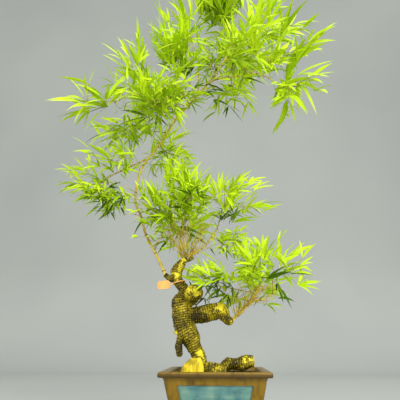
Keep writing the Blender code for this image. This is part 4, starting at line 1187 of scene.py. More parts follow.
SIDE_WHIPS = (
    ((-176, -15, 500), (-196, -22, 506), (-222, -30, 502)),
    ((-268, -18, 602), (-263, -26, 560), (-254, -30, 522), (-240, -32, 502), (-225, -30, 492)),
    ((-190, -24, 560), (-214, -30, 574), (-246, -36, 588)),
    ((-180, -34, 604), (-190, -20, 640), (-214, -20, 690)),
    ((-133, -50, 674), (-150, -66, 700), (-168, -96, 728)),
    ((-115, -55, 704), (-104, -40, 740), (-118, -6, 800)),
    ((-75, -65, 757), (-70, -84, 800), (-84, -104, 850)),
    ((-25, -75, 815), (4, -60, 832), (36, -44, 838)),
    ((3, -80, 847), (-6, -84, 900), (-20, -84, 960)),
    ((29, -85, 887), (62, -110, 880), (88, -150, 850)),
)
WHIP_RADIUS, WHIP_TIP_RADIUS = 0.95, 0.5
THIN_WHIP = 0.8
WhipFan = namedtuple("WhipFan", "first last low high count")
WHIP_FANS = (
    WhipFan((-74, -2, 401), (-57, -2, 402), (-128, -46, 470), (-8, 46, 512), 30),
    WhipFan((40, -4, 263), (88, 0, 302), (42, -46, 318), (148, 46, 344), 26),
)
WHIP_BOW, TIP_STRAY, WHIP_RISE = 10, 14, 6


def whip_routes(fan, chance):
    """Thin shoots from places along a line, that spread to ends across a space and keep their order."""
    routes = []
    for number in range(fan.count):
        share = (number + chance.random()) / fan.count
        base = Vector(fan.first).lerp(Vector(fan.last), share)
        tip = [low + (high - low) * chance.random() for low, high in zip(fan.low, fan.high)]
        tip[0] = fan.low[0] + (fan.high[0] - fan.low[0]) * share + chance.gauss(0, TIP_STRAY)
        bow = Vector([chance.gauss(0, WHIP_BOW) for _ in "xyz"]) + UP * WHIP_RISE
        routes.append((tuple(base), tuple(base.lerp(Vector(tip), 0.5) + bow), tuple(tip)))
    return routes


def raise_canes(look, routes):
    """The culm in one jointed run, the leader and boughs with joints of their own, and thin whips."""
    material = cane_finish(look)
    chance = random.Random(CANE_SEED)
    pile = Pile("joint")
    culm = smooth(CULM, CANE_ROW)
    culm = [row for row in culm if row.z > CULM_SHOWS_ABOVE or row.x < CULM_SHOWS_PAST]
    cane_skin(pile, culm, joints_at(culm, CULM_JOINTS), CULM_SIDES)
    for cane in CANES:
        run = smooth(routes[cane.name], CANE_ROW)
        cane_skin(pile, run, joints_along(run, chance), CANE_SIDES)
    nodes = [*CULM_NODES, *(cane.name for cane in CANES)]
    add_piece("jointed_canes", pile, material, nodes)
    whips = Pile("joint")
    shoots = [(route, 1) for route in (*PAD_WHIPS, *LOW_WHIPS, *SIDE_WHIPS)]
    shoots += [(route, THIN_WHIP) for fan in WHIP_FANS for route in whip_routes(fan, chance)]
    for route, size in shoots:
        rows = []
        for index, place in enumerate(route):
            radius = WHIP_RADIUS + (WHIP_TIP_RADIUS - WHIP_RADIUS) * index / (len(route) - 1)
            rows.append((*place, size * radius))
        run = smooth(rows, WHIP_ROW)
        cane_skin(whips, run, joints_along(run, chance), WHIP_SIDES)
    add_piece("thin_canes", whips, material, nodes)


# Foliage, grown by the part's own rule: each mass keeps to its own cell and reaches its furthest tips

Mass = namedtuple("Mass", "name limb share centre radius leaf tips")
MASSES = [Mass(*row) for row in (
    ("crown_top_left", "crown_bough_left", 1.0, (-60, -80, 995), 94, 94,
     ((-95, -100, 1080), (-125, -90, 1015))),
    ("crown_top", "leader", 1.0, (10, -60, 1090), 94, 92, ((25, -70, 1165), (95, -60, 1140))),
    ("crown_top_right", "leader", 0.86, (155, -90, 995), 95, 90, ((200, -110, 960), (165, -120, 1070))),
    ("crown_right_high", "crown_bough_right", 1.0, (180, -125, 870), 87, 94,
     ((275, -120, 890), (240, -90, 935))),
    ("crown_right_low", "crown_bough_low", 1.0, (195, -95, 795), 81, 80,
     ((270, -110, 790), (223, -110, 712))),
    ("crown_front", "leader", 0.1, (95, -190, 825), 82, 86, ((95, -185, 915), (135, -150, 765))),
    ("crown_back", "leader", 0.62, (55, 5, 1000), 112, 86, ((40, 110, 1030), (140, 40, 1010))),
    ("crown_mid_left", "culm_top", 0.82, (-95, -110, 900), 83, 82,
     ((-130, -115, 960), (-140, -180, 885))),
    ("crown_under", "crown_bough_right", 0.35, (55, -35, 830), 72, 86,
     ((-10, -55, 758), (95, 20, 800))),
    ("left_high", "left_high_bough", 0.6, (-185, -100, 875), 81, 90,
     ((-279, -100, 955), (-217, -100, 953), (-180, -100, 972))),
    ("left_far", "left_high_bough", 1.0, (-255, -90, 765), 100, 96,
     ((-418, -100, 780), (-345, -100, 828), (-362, -95, 730))),
    ("left_front", "culm_top", 0.3, (-145, -140, 735), 83, 82, ((-190, -215, 740),)),
    ("left_back", "culm_top", 0.5, (-150, 25, 855), 95, 86, ((-210, 85, 900), (-110, 60, 930))),
    ("left_under", "culm_mid", 0.85, (-240, -35, 740), 89, 90, ((-310, -40, 700), (-260, 50, 745))),
    ("culm_side", "culm_top", 0.55, (-85, -120, 797), 63, 70, ((-20, -115, 757),)),
    ("culm_mid_spray", "culm_mid", 0.7, (-130, 20, 680), 71, 82, ((-70, -30, 668), (-90, 30, 700))),
    ("left_mid_star", "left_low_bough", 0.45, (-245, -45, 630), 87, 82,
     ((-310, -50, 685), (-285, -135, 640))),
    ("left_mid_low", "left_low_bough", 1.0, (-290, -5, 590), 89, 72,
     ((-385, -10, 570), (-316, -10, 527), (-259, -10, 508))),
    ("left_mid_heart", "culm_mid", 0.06, (-250, -55, 555), 57, 66, ((-250, -40, 485),)),
    ("pad_left", "pad_cane_left", 0.5, (-130, -55, 515), 74, 72, ((-165, -30, 575), (-190, -45, 505))),
    ("pad_top", "pad_cane_left", 1.0, (-60, -70, 530), 80, 72, ((-55, -50, 612), (-60, -125, 540))),
    ("pad_right", "pad_cane_right", 1.0, (25, -20, 535), 80, 74, ((92, -20, 605), (170, -20, 530))),
    ("pad_back", "pad_cane_left", 0.9, (-75, 85, 490), 85, 80, ((-60, 130, 530), (20, 95, 550))),
    ("pad_under", "pad_cane_right", 0.78, (45, 15, 445), 62, 62, ((92, 0, 445),)),
    ("culm_foot_spray", "culm_low", 0.42, (-122, -50, 442), 40, 44,
     ((-100, -30, 430), (-180, -15, 440))),
    ("low_left", "arm_cane_up", 0.4, (-25, -15, 340), 70, 72, ((-60, -20, 372), (5, -25, 310))),
    ("low_top", "arm_cane_up", 1.0, (90, -50, 365), 68, 68, ((80, -50, 435), (60, -110, 385))),
    ("low_right", "arm_cane_right", 1.0, (135, -7, 380), 78, 76,
     ((205, -10, 412), (228, -10, 355), (169, -10, 283))),
    ("low_back", "arm_cane_up", 0.75, (90, 70, 330), 70, 72, ((95, 110, 360), (50, 70, 395))),
)]
SEED = 50
SPRAY_SPACING = 22.5
HUB_SHARE = 0.3
AIMED_LEAF = 1.2
AIMED_SHARE = 0.8
TIP_ROOM = 0.62
SHELL = 0.62
REACH_RANGE = (0.8, 1.0)
LENGTH_RANGE = (0.85, 1.05)
FIRST_RISE, RISE_SPAN = 0.92, 1.5
TURN_JITTER = 0.25
FORWARD = 0.6
FORK_BACK = 0.6
LEAST_FORK, MOST_FORK = 0.35, 0.9
FAN_SLOTS = 2
FAN_STEP = math.radians(33)
FAN_JITTER = math.radians(3)
FAN_ROLL = math.radians(60)
LEAST_LEAVES = 2
SHORTER = 0.14
DROOP = 0.08
LIFT_JITTER = 0.18
LEAF_WIDTH = 0.14
LEAF_WIDEST = 0.34
LEAF_FITS = (1.0, 0.82, 0.66, 0.5)
LEAF_FREE_FROM = 0.010
LEAF_CLEARANCE = 1.3
STEM_RADIUS, STEM_TIP_RADIUS = 0.0020, 0.0016
TWIG_RADIUS, TWIG_TIP_RADIUS = 0.0014, 0.0007
LEAST_TWIG = 0.010
LEAST_STEM = 0.014
ENVELOPE_FLATNESS = 0.92
SPACE = 0.0005
NEARBY = 0.13
GOLDEN_ANGLE = math.pi * (3 - math.sqrt(5))


def segment_gap(a, b, c, d):
    """The shortest distance between the straight stretches a-b and c-d."""
    u, v, w = b - a, d - c, a - c
    uu, uv, vv, uw, vw = u.dot(u), u.dot(v), v.dot(v), u.dot(w), v.dot(w)
    span = uu * vv - uv * uv
    s = min(1, max(0, (uv * vw - vv * uw) / span)) if span > 1e-15 else 0
    t = min(1, max(0, (uv * s + vw) / vv))
    s = min(1, max(0, (uv * t - uw) / uu))
    return (w + u * s - v * t).length


def stem_of(mass, runs):
    """A mass's stem, from its limb to the hub that its shoots spread from."""
    centre = Vector(mass.centre) * MM
    root = root_on(runs[mass.limb], mass.share, centre, STEM_RADIUS)
    hub = centre.lerp(root, HUB_SHARE)
    if (hub - root).length < LEAST_STEM:
        hub = root + (centre - root).normalized() * LEAST_STEM
    return root, hub


class Cell:
    """The space that one mass keeps to: nearer to its centre than to the others', weighed by radius."""

    def __init__(self, mass, stems, runs):
        self.centre = Vector(mass.centre) * MM
        self.radius = mass.radius * MM
        self.walls = []
        for other in MASSES:
            if other is mass:
                continue
            between = Vector(other.centre) * MM - self.centre
            apart = between.length
            offset = (apart**2 + self.radius**2 - (other.radius * MM) ** 2) / (2 * apart) - SPACE
            self.walls.append((between / apart, offset))
        far = self.radius + NEARBY
        capsules = []
        for run in runs.values():
            for start, end in zip(run, run[1:]):
                capsules.append((start.xyz, end.xyz, max(start.w, end.w)))
        for name, (root, hub) in stems.items():
            if name != mass.name:
                capsules.append((root, hub, STEM_RADIUS))
        top = self.centre + Vector((0, 0, SPACE))
        self.solids = [row for row in capsules if segment_gap(row[0], row[1], self.centre, top) < far]

    def holds(self, point, margin=0.0):
        away = point - self.centre
        return all(normal.dot(away) < offset - margin for normal, offset in self.walls)

    def exit_along(self, point, heading):
        """How far a straight line goes before it leaves the cell or the mass's rounded outline."""
        away = point - self.centre
        limit = math.inf
        for normal, offset in self.walls:
            speed = normal.dot(heading)
            if speed > 1e-6:
                limit = min(limit, (offset - normal.dot(away)) / speed)
        squash = Vector((1, 1, 1 / ENVELOPE_FLATNESS))
        a, d = away * squash, heading * squash
        inside = a.dot(d) ** 2 - d.dot(d) * (a.dot(a) - self.radius**2)
        if inside > 0:
            limit = min(limit, (math.sqrt(inside) - a.dot(d)) / d.dot(d))
        return limit

    def clear(self, start, end, radius):
        """Whether a straight piece stays in the cell and off every limb and other stem."""
        if not (self.holds(start, radius) and self.holds(end)):
            return False
        room = radius + SPACE
        return all(segment_gap(start, end, a, b) > thick + room for a, b, thick in self.solids)


Twig = namedtuple("Twig", "start end radius tip_radius")
Fan = namedtuple("Fan", "centre forward side normal leaves")
Leaf = namedtuple("Leaf", "angle lift length tip")


class Foliage:
    """Grows one mass: twigs that branch from its stem, each with a fan of leaves at its end."""

    def __init__(self, mass, index, stems, runs):
        self.mass = mass
        self.leaf = mass.leaf * MM
        self.root, self.hub = stems[mass.name]
        self.cell = Cell(mass, stems, runs)
        self.random = random.Random(SEED + index)
        self.turn = index
        self.twigs = [Twig(self.root, self.hub, STEM_RADIUS, STEM_TIP_RADIUS)]
        self.fans = []

    def grow(self):
        for tip in self.mass.tips:
            target = Vector(tip) * MM
            outward = target - self.hub
            length = min(self.leaf * AIMED_LEAF, outward.length * AIMED_SHARE)
            outward.normalize()
            self.spray(target - outward * length, outward, length, 0)
        sprays = round(self.mass.radius / SPRAY_SPACING)
        for number in range(sprays):
            outward = self.heading(number, sprays)
            limit = self.cell.exit_along(self.cell.centre, outward)
            away = max(limit - TIP_ROOM * self.leaf, SHELL * limit) * self.random.uniform(*REACH_RANGE)
            length = self.leaf * self.random.uniform(*LENGTH_RANGE)
            self.spray(self.cell.centre + outward * away, outward, length, FORWARD)
        return self

    def heading(self, number, count):
        """Golden-angle directions, from nearly straight up to a little below level."""
        rise = FIRST_RISE - RISE_SPAN * (number + 0.5) / count
        turn = GOLDEN_ANGLE * (number + self.turn) + self.random.uniform(-TURN_JITTER, TURN_JITTER)
        level = math.sqrt(1 - rise**2)
        return Vector((level * math.cos(turn), level * math.sin(turn), rise))

    def spray(self, place, outward, length, follow):
        """A twig from the nearest wood to a place, with leaves fanned round the outward direction."""
        base = self.fork_for(place)
        if base is None:
            return
        along = (place - base).normalized()
        forward = (along * follow + outward).normalized()
        side = self.side_of(forward, self.random.uniform(-FAN_ROLL, FAN_ROLL))
        normal = side.cross(forward)
        if normal.z < 0:
            side, normal = -side, -normal
        leaves = []
        for slot in sorted(range(-FAN_SLOTS, FAN_SLOTS + 1), key=abs):
            angle = slot * FAN_STEP + self.random.uniform(-FAN_JITTER, FAN_JITTER) * (slot != 0)
            lift = self.random.uniform(-LIFT_JITTER, LIFT_JITTER) * (slot != 0) - DROOP * abs(slot)
            toward = forward * math.cos(angle) + side * math.sin(angle) + normal * lift
            size = self.fitting(place, toward, length * (1 - SHORTER * abs(slot)))
            if size:
                leaves.append(Leaf(angle, lift, size, place + toward * size))
        if len(leaves) >= LEAST_LEAVES:
            self.twigs.append(Twig(base, place, TWIG_RADIUS, TWIG_TIP_RADIUS))
            self.fans.append(Fan(place, forward, side, normal, sorted(leaves)))

    def fork_for(self, place):
        """Where a twig to a place leaves the wood: just rootward of the wood's closest point."""
        forks = []
        for twig in self.twigs:
            run = twig.end - twig.start
            share = (place - twig.start).dot(run) / run.length_squared
            nearest = twig.start + run * min(MOST_FORK, max(0, share))
            back = FORK_BACK * (place - nearest).length / run.length
            fork = twig.start + run * max(LEAST_FORK, min(MOST_FORK, share - back))
            forks.append(((place - fork).length, fork))
        for distance, fork in sorted(forks, key=lambda item: item[0]):
            if distance > LEAST_TWIG and self.cell.clear(fork, place, TWIG_RADIUS):
                return fork
        return None

    def side_of(self, heading, roll):
        """The direction across a fan that its leaves spread along, level for no roll."""
        level = heading.cross(Vector((0, 0, 1)))
        if level.length < 0.2:
            level = heading.cross(Vector((1, 0, 0)))
        level.normalize()
        return (level * math.cos(roll) + heading.cross(level) * math.sin(roll)).normalized()

    def fitting(self, root, toward, length):
        """The first of a leaf's sizes that fits in the cell and clears the other leaves, or 0."""
        for share in LEAF_FITS:
            size = length * share
            half = size * LEAF_WIDTH / 2
            tip = root + toward * size
            widest = root + toward * size * LEAF_WIDEST
            if (
                self.cell.holds(tip)
                and self.cell.holds(widest, half)
                and self.cell.clear(root, tip, half)
                and not self.crosses(root + toward * LEAF_FREE_FROM, tip, half)
            ):
                return size
        return 0

    def crosses(self, start, end, half):
        """Whether a leaf would run through one of the mass's other leaves or twigs."""
        for fan in self.fans:
            for leaf in fan.leaves:
                if segment_gap(start, end, fan.centre, leaf.tip) < half * LEAF_CLEARANCE:
                    return True
        return any(segment_gap(start, end, twig.start, twig.end) < half for twig in self.twigs)


# The finer growth that the part leaves to the looks

FINE_SEED = 400
# How each mass differs: fullness, leaves' length and width, light, and a ragged edge in metres
Growth = namedtuple("Growth", "fill longer wider lit ragged", defaults=(1.0, 1.0, 1.0, 0, 0))
GROWTH = {
    "crown_top_left": Growth(0.4, longer=1.12),
    "crown_top": Growth(6.5, ragged=0.034),
    "crown_top_right": Growth(0.78, longer=1.22, wider=1.15, lit=0.14),
    "crown_right_high": Growth(0.45, longer=1.42, wider=1.3, lit=0.2),
    "crown_right_low": Growth(0.58, longer=1.42, wider=1.4, lit=0.22),
    "crown_front": Growth(2.3),
    "crown_back": Growth(2.2),
    "crown_mid_left": Growth(3.5),
    "crown_under": Growth(1.35),
    "left_high": Growth(0.36, longer=1.15),
    "left_far": Growth(0.22, longer=1.1),
    "left_front": Growth(2.9),
    "left_back": Growth(2.4),
    "left_under": Growth(1.6),
    "culm_side": Growth(1.5),
    "culm_mid_spray": Growth(2.2),
    "left_mid_star": Growth(1.1),
    "left_mid_low": Growth(0.65, lit=-0.04),
    "left_mid_heart": Growth(5.8),
    "pad_left": Growth(3.4),
    "pad_top": Growth(4.0),
    "pad_right": Growth(1.5, longer=1.12),
    "pad_back": Growth(2.4),
    "pad_under": Growth(2.2),
    "low_left": Growth(5.0, lit=-0.18),
    "low_top": Growth(3.2, lit=-0.03),
    "low_right": Growth(1.0, longer=1.12, lit=-0.02),
    "low_back": Growth(2.2),
}
SHOOT_RADIUS, SHOOT_TIP_RADIUS = 0.0007, 0.0005
SPREAD_RANGE = (math.radians(20), math.radians(62))
SPREAD_ROLL = math.radians(50)
PLAIN_LEAF, LEAF_TREND = 88, 1.5
BLADE_RANGE = (0.72, 1.08)
LONG_BLADE, LONG_SHARE, LONG_FILL = 1.22, (0.72, 0.92), 0.3
SIDE_BLADE_RANGE = (0.6, 0.95)
LEAST_BLADE = 0.026
SIDE_FILL = 0.4
INNER_SPACING = 0.05
INNER_FROM, INNER_TO = 0.3, 0.95
INNER_SPREAD = (math.radians(35), math.radians(75))
INNER_SHOOT, INNER_LEAVES = (0.004, 0.014), (1, 2, 2, 3)
ROOM_SPACING = 0.0135
ROOM_DRAWS = 14
ROOM_ALONG, ROOM_STRAY = (0.1, 0.95), 0.014
WOOD_SHARE = 0.3
ROOM_BACK = 0.45
WOOD_BACK = 0.6
ROOM_LIFT = 0.08
ONWARD, AROUND = 0.55, 0.8
ROOM_JITTER = 0.3
ROOM_ROLL = math.radians(65)
ROOM_LEAVES = (3, 4, 4, 5, 6)
ROOM_STEP, ROOM_STEP_JITTER = math.radians(27), 0.12
ROOM_LIFT_JITTER, ROOM_SHORTER = 0.22, 0.1
ROOM_FITS = (1.0, 0.85, 0.7)
FARTHEST_WOOD = 0.075
WIDTH_RANGE = (0.8, 1.15)
WIDTH_TREND = 0.45
FACING_UP, FACING_FRONT, FACING_STRAY = 0.45, (0.05, 1.15), (0.4, 0.4, 0.3)
BLADE_TWIST = math.radians(25)
BOX_SLACK, AIM_SLACK = 0.001, 0.002
# Where the trunk, the arm and the canes show between sprays: boxes in mm, and the share of leaves left
OpenSpace = namedtuple("OpenSpace", "low high share")
OPEN_SPACES = (
    OpenSpace((-112, -140, 150), (-56, 0, 402), 0),
    OpenSpace((-56, -140, 235), (36, -12, 302), 0),
    OpenSpace((-108, -150, 396), (-10, 150, 474), 0.12),
    OpenSpace((-8, -150, 396), (24, 150, 440), 0.3),
    OpenSpace((36, -150, 250), (114, 150, 324), 0.12),
    OpenSpace((-168, -150, 376), (-118, -4, 462), 0.1),
    OpenSpace((-206, -150, 455), (-158, -10, 545), 0.15),
    OpenSpace((-206, -150, 540), (-166, -26, 610), 0.3),
    OpenSpace((-188, -150, 600), (-134, -42, 670), 0.35),
    OpenSpace((-146, -160, 665), (-84, -58, 740), 0.4),
    OpenSpace((14, -250, 850), (88, -92, 1005), 0.42),
)
# Leaf tints are painted light and shade, from deep painted shade to lime in the fullest painted light
TINT_NAMES = ("deep", "shade", "mid", "bright", "lime")
LIGHT_WITHIN, LIGHT_ABOVE, LIGHT_OUT, LIGHT_BEHIND = 0.52, 0.46, 0.12, 0.05
TINT_JITTER, LEAF_TINT_JITTER = 0.17, 0.05
INNER_SHADE = 0.08
BLADE_OUTLINE = ((0.0, 0.08), (0.06, 0.3), (0.19, 0.86), (0.37, 1.0), (0.6, 0.78), (0.82, 0.38))
TWIG_SIDES, TWIG_ROWS, TWIG_SAG = 5, 6, 0.05

Blade = namedtuple("Blade", "root tip normal width tint")


def inside(point, low, high, slack=0.0):
    """Whether a point is in a box, give or take some slack."""
    return all(a - slack < value < b + slack for a, value, b in zip(low, point, high))


class Sprays:
    """The finer growth of one mass: shoots on its fans and twigs, and sprays where there is room."""

    def __init__(self, foliage, index, look):
        self.foliage = foliage
        self.look = look
        self.random = random.Random(FINE_SEED + index)
        self.growth = GROWTH.get(foliage.mass.name, Growth())
        self.fill = look.leaf_fill * self.growth.fill
        trend = (foliage.mass.leaf / PLAIN_LEAF) ** LEAF_TREND
        self.blade_length = look.blade_length * trend * self.growth.longer
        self.blade_width = look.blade_width * self.growth.wider
        self.low, self.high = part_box(foliage.mass.name)
        self.blades, self.shoots, self.middles = [], [], []

    def grow(self):
        for fan in self.foliage.fans:
            tint = self.painted_light_at(fan.centre)
            outermost = any(leaf.angle == 0 and self.is_aimed(leaf.tip) for leaf in fan.leaves)
            for leaf in fan.leaves:
                self.side_shoot(fan, leaf, tint, outermost)
        for twig in self.foliage.twigs[1:]:
            self.inner_sprays(twig)
        for _ in range(round(self.fill * (self.foliage.mass.radius * MM / ROOM_SPACING) ** 2 / 2)):
            draws = [self.some_place() for _ in range(ROOM_DRAWS)]
            self.room_spray(max(draws, key=self.room_at))
        return self

    def is_aimed(self, place):
        """Whether a place is one of the mass's furthest tips."""
        return any((Vector(tip) * MM - place).length < AIM_SLACK for tip in self.foliage.mass.tips)

    def jitter(self, size):
        return Vector([self.random.gauss(0, size) for _ in "xyz"])

    def painted_light_at(self, place):
        """How bright a spray is, from 0 to 1: most so on top of its mass and out in the light."""
        mass = self.foliage.mass
        away = (place - Vector(mass.centre) * MM) / (mass.radius * MM)
        light = LIGHT_WITHIN + LIGHT_ABOVE * away.z + LIGHT_OUT * away.length - LIGHT_BEHIND * away.y
        return light + self.growth.lit + self.random.gauss(0, TINT_JITTER)

    def add_shoot(self, start, end):
        self.shoots.append(Twig(start, end, SHOOT_RADIUS, SHOOT_TIP_RADIUS))

    def add_blade(self, root, tip, tint):
        """A leaf between two points that roughly faces the light, if it stays in the mass's space."""
        slack = BOX_SLACK
        if self.growth.ragged and not self.is_aimed(tip):
            slack -= self.random.uniform(0, self.growth.ragged)
        if not (inside(tip, self.low, self.high, slack) and self.foliage.cell.holds(tip)):
            return False
        for space in OPEN_SPACES:
            if any(inside(place / MM, space.low, space.high) for place in (tip, root.lerp(tip, 0.5))):
                if self.random.random() >= space.share:
                    return False
        run = (tip - root).normalized()
        lying = UP * FACING_UP + FRONT * self.random.uniform(*FACING_FRONT)
        lying += Vector([self.random.gauss(0, stray) for stray in FACING_STRAY])
        lying -= run * lying.dot(run)
        if lying.length < 0.05:
            lying = run.orthogonal()
        length = (tip - root).length
        slim = (length / self.look.blade_length) ** WIDTH_TREND
        width = length * slim * self.blade_width * self.random.uniform(*WIDTH_RANGE)
        width = max(width, self.look.least_blade_width)
        # The leaf's tint is its spray's painted light, with a little random spread
        tone = int((tint + self.random.gauss(0, LEAF_TINT_JITTER)) * len(TINT_NAMES))
        shade = min(len(TINT_NAMES) - 1, max(0, tone))
        self.blades.append(Blade(root, tip, lying.normalized(), width, shade))
        self.middles.append((root + tip) / 2)
        return True

    def side_shoot(self, fan, leaf, tint, outermost):
        """A shoot whose end leaf reaches a leaf tip of the fan's, with more leaves off both sides."""
        reach = (leaf.tip - fan.centre).length
        heading = (leaf.tip - fan.centre) / reach
        blade = min(reach * self.random.uniform(*LONG_SHARE), self.blade_length * LONG_BLADE)
        end = leaf.tip - heading * blade
        self.add_blade(end, leaf.tip, tint)
        if (end - fan.centre).length > LEAST_TWIG:
            self.add_shoot(fan.centre, end)
        side = heading.cross(fan.normal).normalized()
        hand = self.random.choice((-1, 1))
        fill = LONG_FILL if outermost else self.fill
        count = self.count(SIDE_FILL * fill * reach / self.blade_length)
        for number in range(count):
            hand = -hand
            root = fan.centre.lerp(end, (number + self.random.random()) / count)
            self.side_leaf(root, heading, side * hand, blade, SPREAD_RANGE, tint)

    def count(self, wanted):
        """A whole number that comes to a wanted number on average."""
        return int(wanted + self.random.random())

    def side_leaf(self, root, heading, side, blade, spread, tint):
        roll = self.random.uniform(-SPREAD_ROLL, SPREAD_ROLL)
        side = side * math.cos(roll) + heading.cross(side) * math.sin(roll)
        angle = self.random.uniform(*spread)
        toward = heading * math.cos(angle) + side * math.sin(angle)
        length = max(LEAST_BLADE, blade * self.random.uniform(*SIDE_BLADE_RANGE))
        self.add_blade(root, root + toward * length, tint)

    def inner_sprays(self, twig):
        """Leaves in pairs and threes off a twig's own sides."""
        run = twig.end - twig.start
        heading = run.normalized()
        count = self.count(self.fill * (INNER_TO - INNER_FROM) * run.length / INNER_SPACING)
        for number in range(count):
            share = INNER_FROM + (INNER_TO - INNER_FROM) * (number + self.random.random()) / count
            root = twig.start.lerp(twig.end, share)
            turn = self.random.uniform(0, math.tau)
            level = heading.orthogonal().normalized()
            side = level * math.cos(turn) + heading.cross(level) * math.sin(turn)
            tint = self.painted_light_at(root) - INNER_SHADE
            blade = self.blade_length * self.random.uniform(*BLADE_RANGE)
            knot = root + (heading + side).normalized() * self.random.uniform(*INNER_SHOOT)
            self.add_shoot(root, knot)
            for _ in range(self.random.choice(INNER_LEAVES)):
                self.side_leaf(knot, heading, side, blade, INNER_SPREAD, tint)

    def some_place(self):
        """A place close to one of the mass's own leaves, or of its twigs."""
        if self.random.random() < WOOD_SHARE:
            start, end = self.random.choice(self.foliage.twigs)[:2]
        else:
            fan = self.random.choice(self.foliage.fans)
            start, end = fan.centre, self.random.choice(fan.leaves).tip
        return start.lerp(end, self.random.uniform(*ROOM_ALONG)) + self.jitter(ROOM_STRAY)

    def room_at(self, place):
        """How far off, squared, the nearest leaf's middle is, and 0 outside the mass's space."""
        if not (inside(place, self.low, self.high) and self.foliage.cell.holds(place)):
            return 0
        return min((place - middle).length_squared for middle in self.middles)

    def nearest_wood(self, place):
        nearest = None
        for twig in (*self.foliage.twigs, *self.shoots):
            run = twig.end - twig.start
            share = min(1, max(0, (place - twig.start).dot(run) / run.length_squared))
            back = WOOD_BACK * (place - twig.start - run * share).length / run.length
            point = twig.start + run * max(0, share - back)
            away = (place - point).length
            if nearest is None or away < nearest[0]:
                nearest = away, point
        return nearest

    def room_spray(self, place):
        """A shoot from the nearest wood with a fan of leaves that spreads over an empty place."""
        cell = self.foliage.cell
        outward = (place - self.foliage.root).normalized() * ONWARD + UP * ROOM_LIFT
        outward += (place - cell.centre) / cell.radius * AROUND
        outward = (outward + self.jitter(ROOM_JITTER)).normalized()
        blade = self.blade_length * self.random.uniform(*BLADE_RANGE)
        knot = place - outward * blade * ROOM_BACK
        away, fork = self.nearest_wood(knot)
        if away > FARTHEST_WOOD:
            return
        side = self.foliage.side_of(outward, self.random.uniform(-ROOM_ROLL, ROOM_ROLL))
        normal = side.cross(outward)
        tint = self.painted_light_at(place)
        count = self.random.choice(ROOM_LEAVES)
        leaves = 0
        for number in range(count):
            slot = number - (count - 1) / 2
            angle = slot * ROOM_STEP + self.random.gauss(0, ROOM_STEP_JITTER)
            toward = outward * math.cos(angle) + side * math.sin(angle)
            toward += normal * self.random.gauss(0, ROOM_LIFT_JITTER)
            length = blade * (1 - ROOM_SHORTER * abs(slot)) * self.random.uniform(*LENGTH_RANGE)
            fits = (self.add_blade(knot, knot + toward * length * share, tint) for share in ROOM_FITS)
            leaves += any(fits)
        if leaves:
            self.add_shoot(fork, knot)


def blade_skin(pile, blade, look, chance):
    """A leaf: a lance-shaped blade, folded a little along its midrib, that arches over and twists."""
    run = blade.tip - blade.root
    length = run.length
    along = run / length
    arch = look.blade_droop * length * chance.uniform(0.5, 1.5)
    twist = chance.uniform(-BLADE_TWIST, BLADE_TWIST)
    verts = []
    for share, half in BLADE_OUTLINE:
        turn = Matrix.Rotation(twist * share, 3, along)
        normal = turn @ blade.normal
        across = along.cross(normal) * blade.width / 2 * half
        middle = blade.root + run * share + UP * arch * 4 * share * (1 - share) * 0.5
        fold = normal * look.blade_fold * blade.width / 2 * half
        verts += [middle - across + fold, middle, middle + across + fold]
    verts.append(blade.tip)
    faces = []
    for row in range(len(BLADE_OUTLINE) - 1):
        first = row * 3
        for left in (first, first + 1):
            faces.append((left, left + 1, left + 4, left + 3))
    last = len(verts) - 1
    faces += [(last - 3, last - 2, last), (last - 2, last - 1, last)]
    pile.add(verts, faces)


def twig_skin(pile, twig, width, chance):
    """A slim twig, bowed a little, at a share of its own width."""
    run = twig.end - twig.start
    radius, tip_radius = twig.radius * width, twig.tip_radius * width
    bow = Vector([chance.gauss(0, 1) for _ in "xyz"]) * run.length * TWIG_SAG * 0.5
    rows = []
    for step in range(TWIG_ROWS):
        share = step / (TWIG_ROWS - 1)
        place = twig.start + run * share + bow * 4 * share * (1 - share) * 0.5
        rows.append(Vector((*place, radius + (tip_radius - radius) * share)))
    verts = []
    for row, (front, aside) in zip(rows, carried_frames(rows)):
        verts += [row.xyz + out * row.w for _, out in ring_round(front, aside, TWIG_SIDES)]
    verts += [rows[0].xyz, rows[-1].xyz]
    pile.add(verts, loft_faces(len(rows), TWIG_SIDES))


def grow_foliage(look, canes_look, runs):
    """Every mass's twigs in one piece, and its leaves dealt out by the tint of their spray, which is
    painted light and shade.
    """
    stems = {mass.name: stem_of(mass, runs) for mass in MASSES}
    names = [mass.name for mass in MASSES]
    chance = random.Random(FINE_SEED)
    twigs = Pile()
    leaves = [Pile() for _ in TINT_NAMES]
    for index, mass in enumerate(MASSES):
        foliage = Foliage(mass, index, stems, runs).grow()
        sprays = Sprays(foliage, index, look).grow()
        for twig in (*foliage.twigs, *sprays.shoots):
            twig_skin(twigs, twig, look.twig_share, chance)
        for blade in sprays.blades:
            blade_skin(leaves[blade.tint], blade, look, chance)
    add_piece("leafy_twigs", twigs, twig_finish(canes_look), names)
    for tint, pile in zip(TINT_NAMES, leaves):
        finish = leaf_finish(tint, getattr(look, f"leaf_{tint}"))
        add_piece(f"leaves_{tint}", pile, finish, names)


# Plant label: a blank card on a strap that ends in a loop round the neck

TAG_CARD = (0.029, 0.0009, 0.0185)
TAG_CORNER = 0.0035
TAG_CENTRE = (-117, -8, 338)
TAG_TILT = math.radians(6)
TAG_CURL = 0.0012
TAG_COLUMNS, TAG_ROWS = 24, 12
TIE_SHARE = 0.45
TIE_THICKNESS, TIE_WIDTH = 0.0009, 0.0026
TIE_CLEARANCE = 0.0016
TIE_STEPS, STRAP_STEPS = 48, 20
STRAP_ON_CARD = 0.004
STRAP_SAG = 0.0012


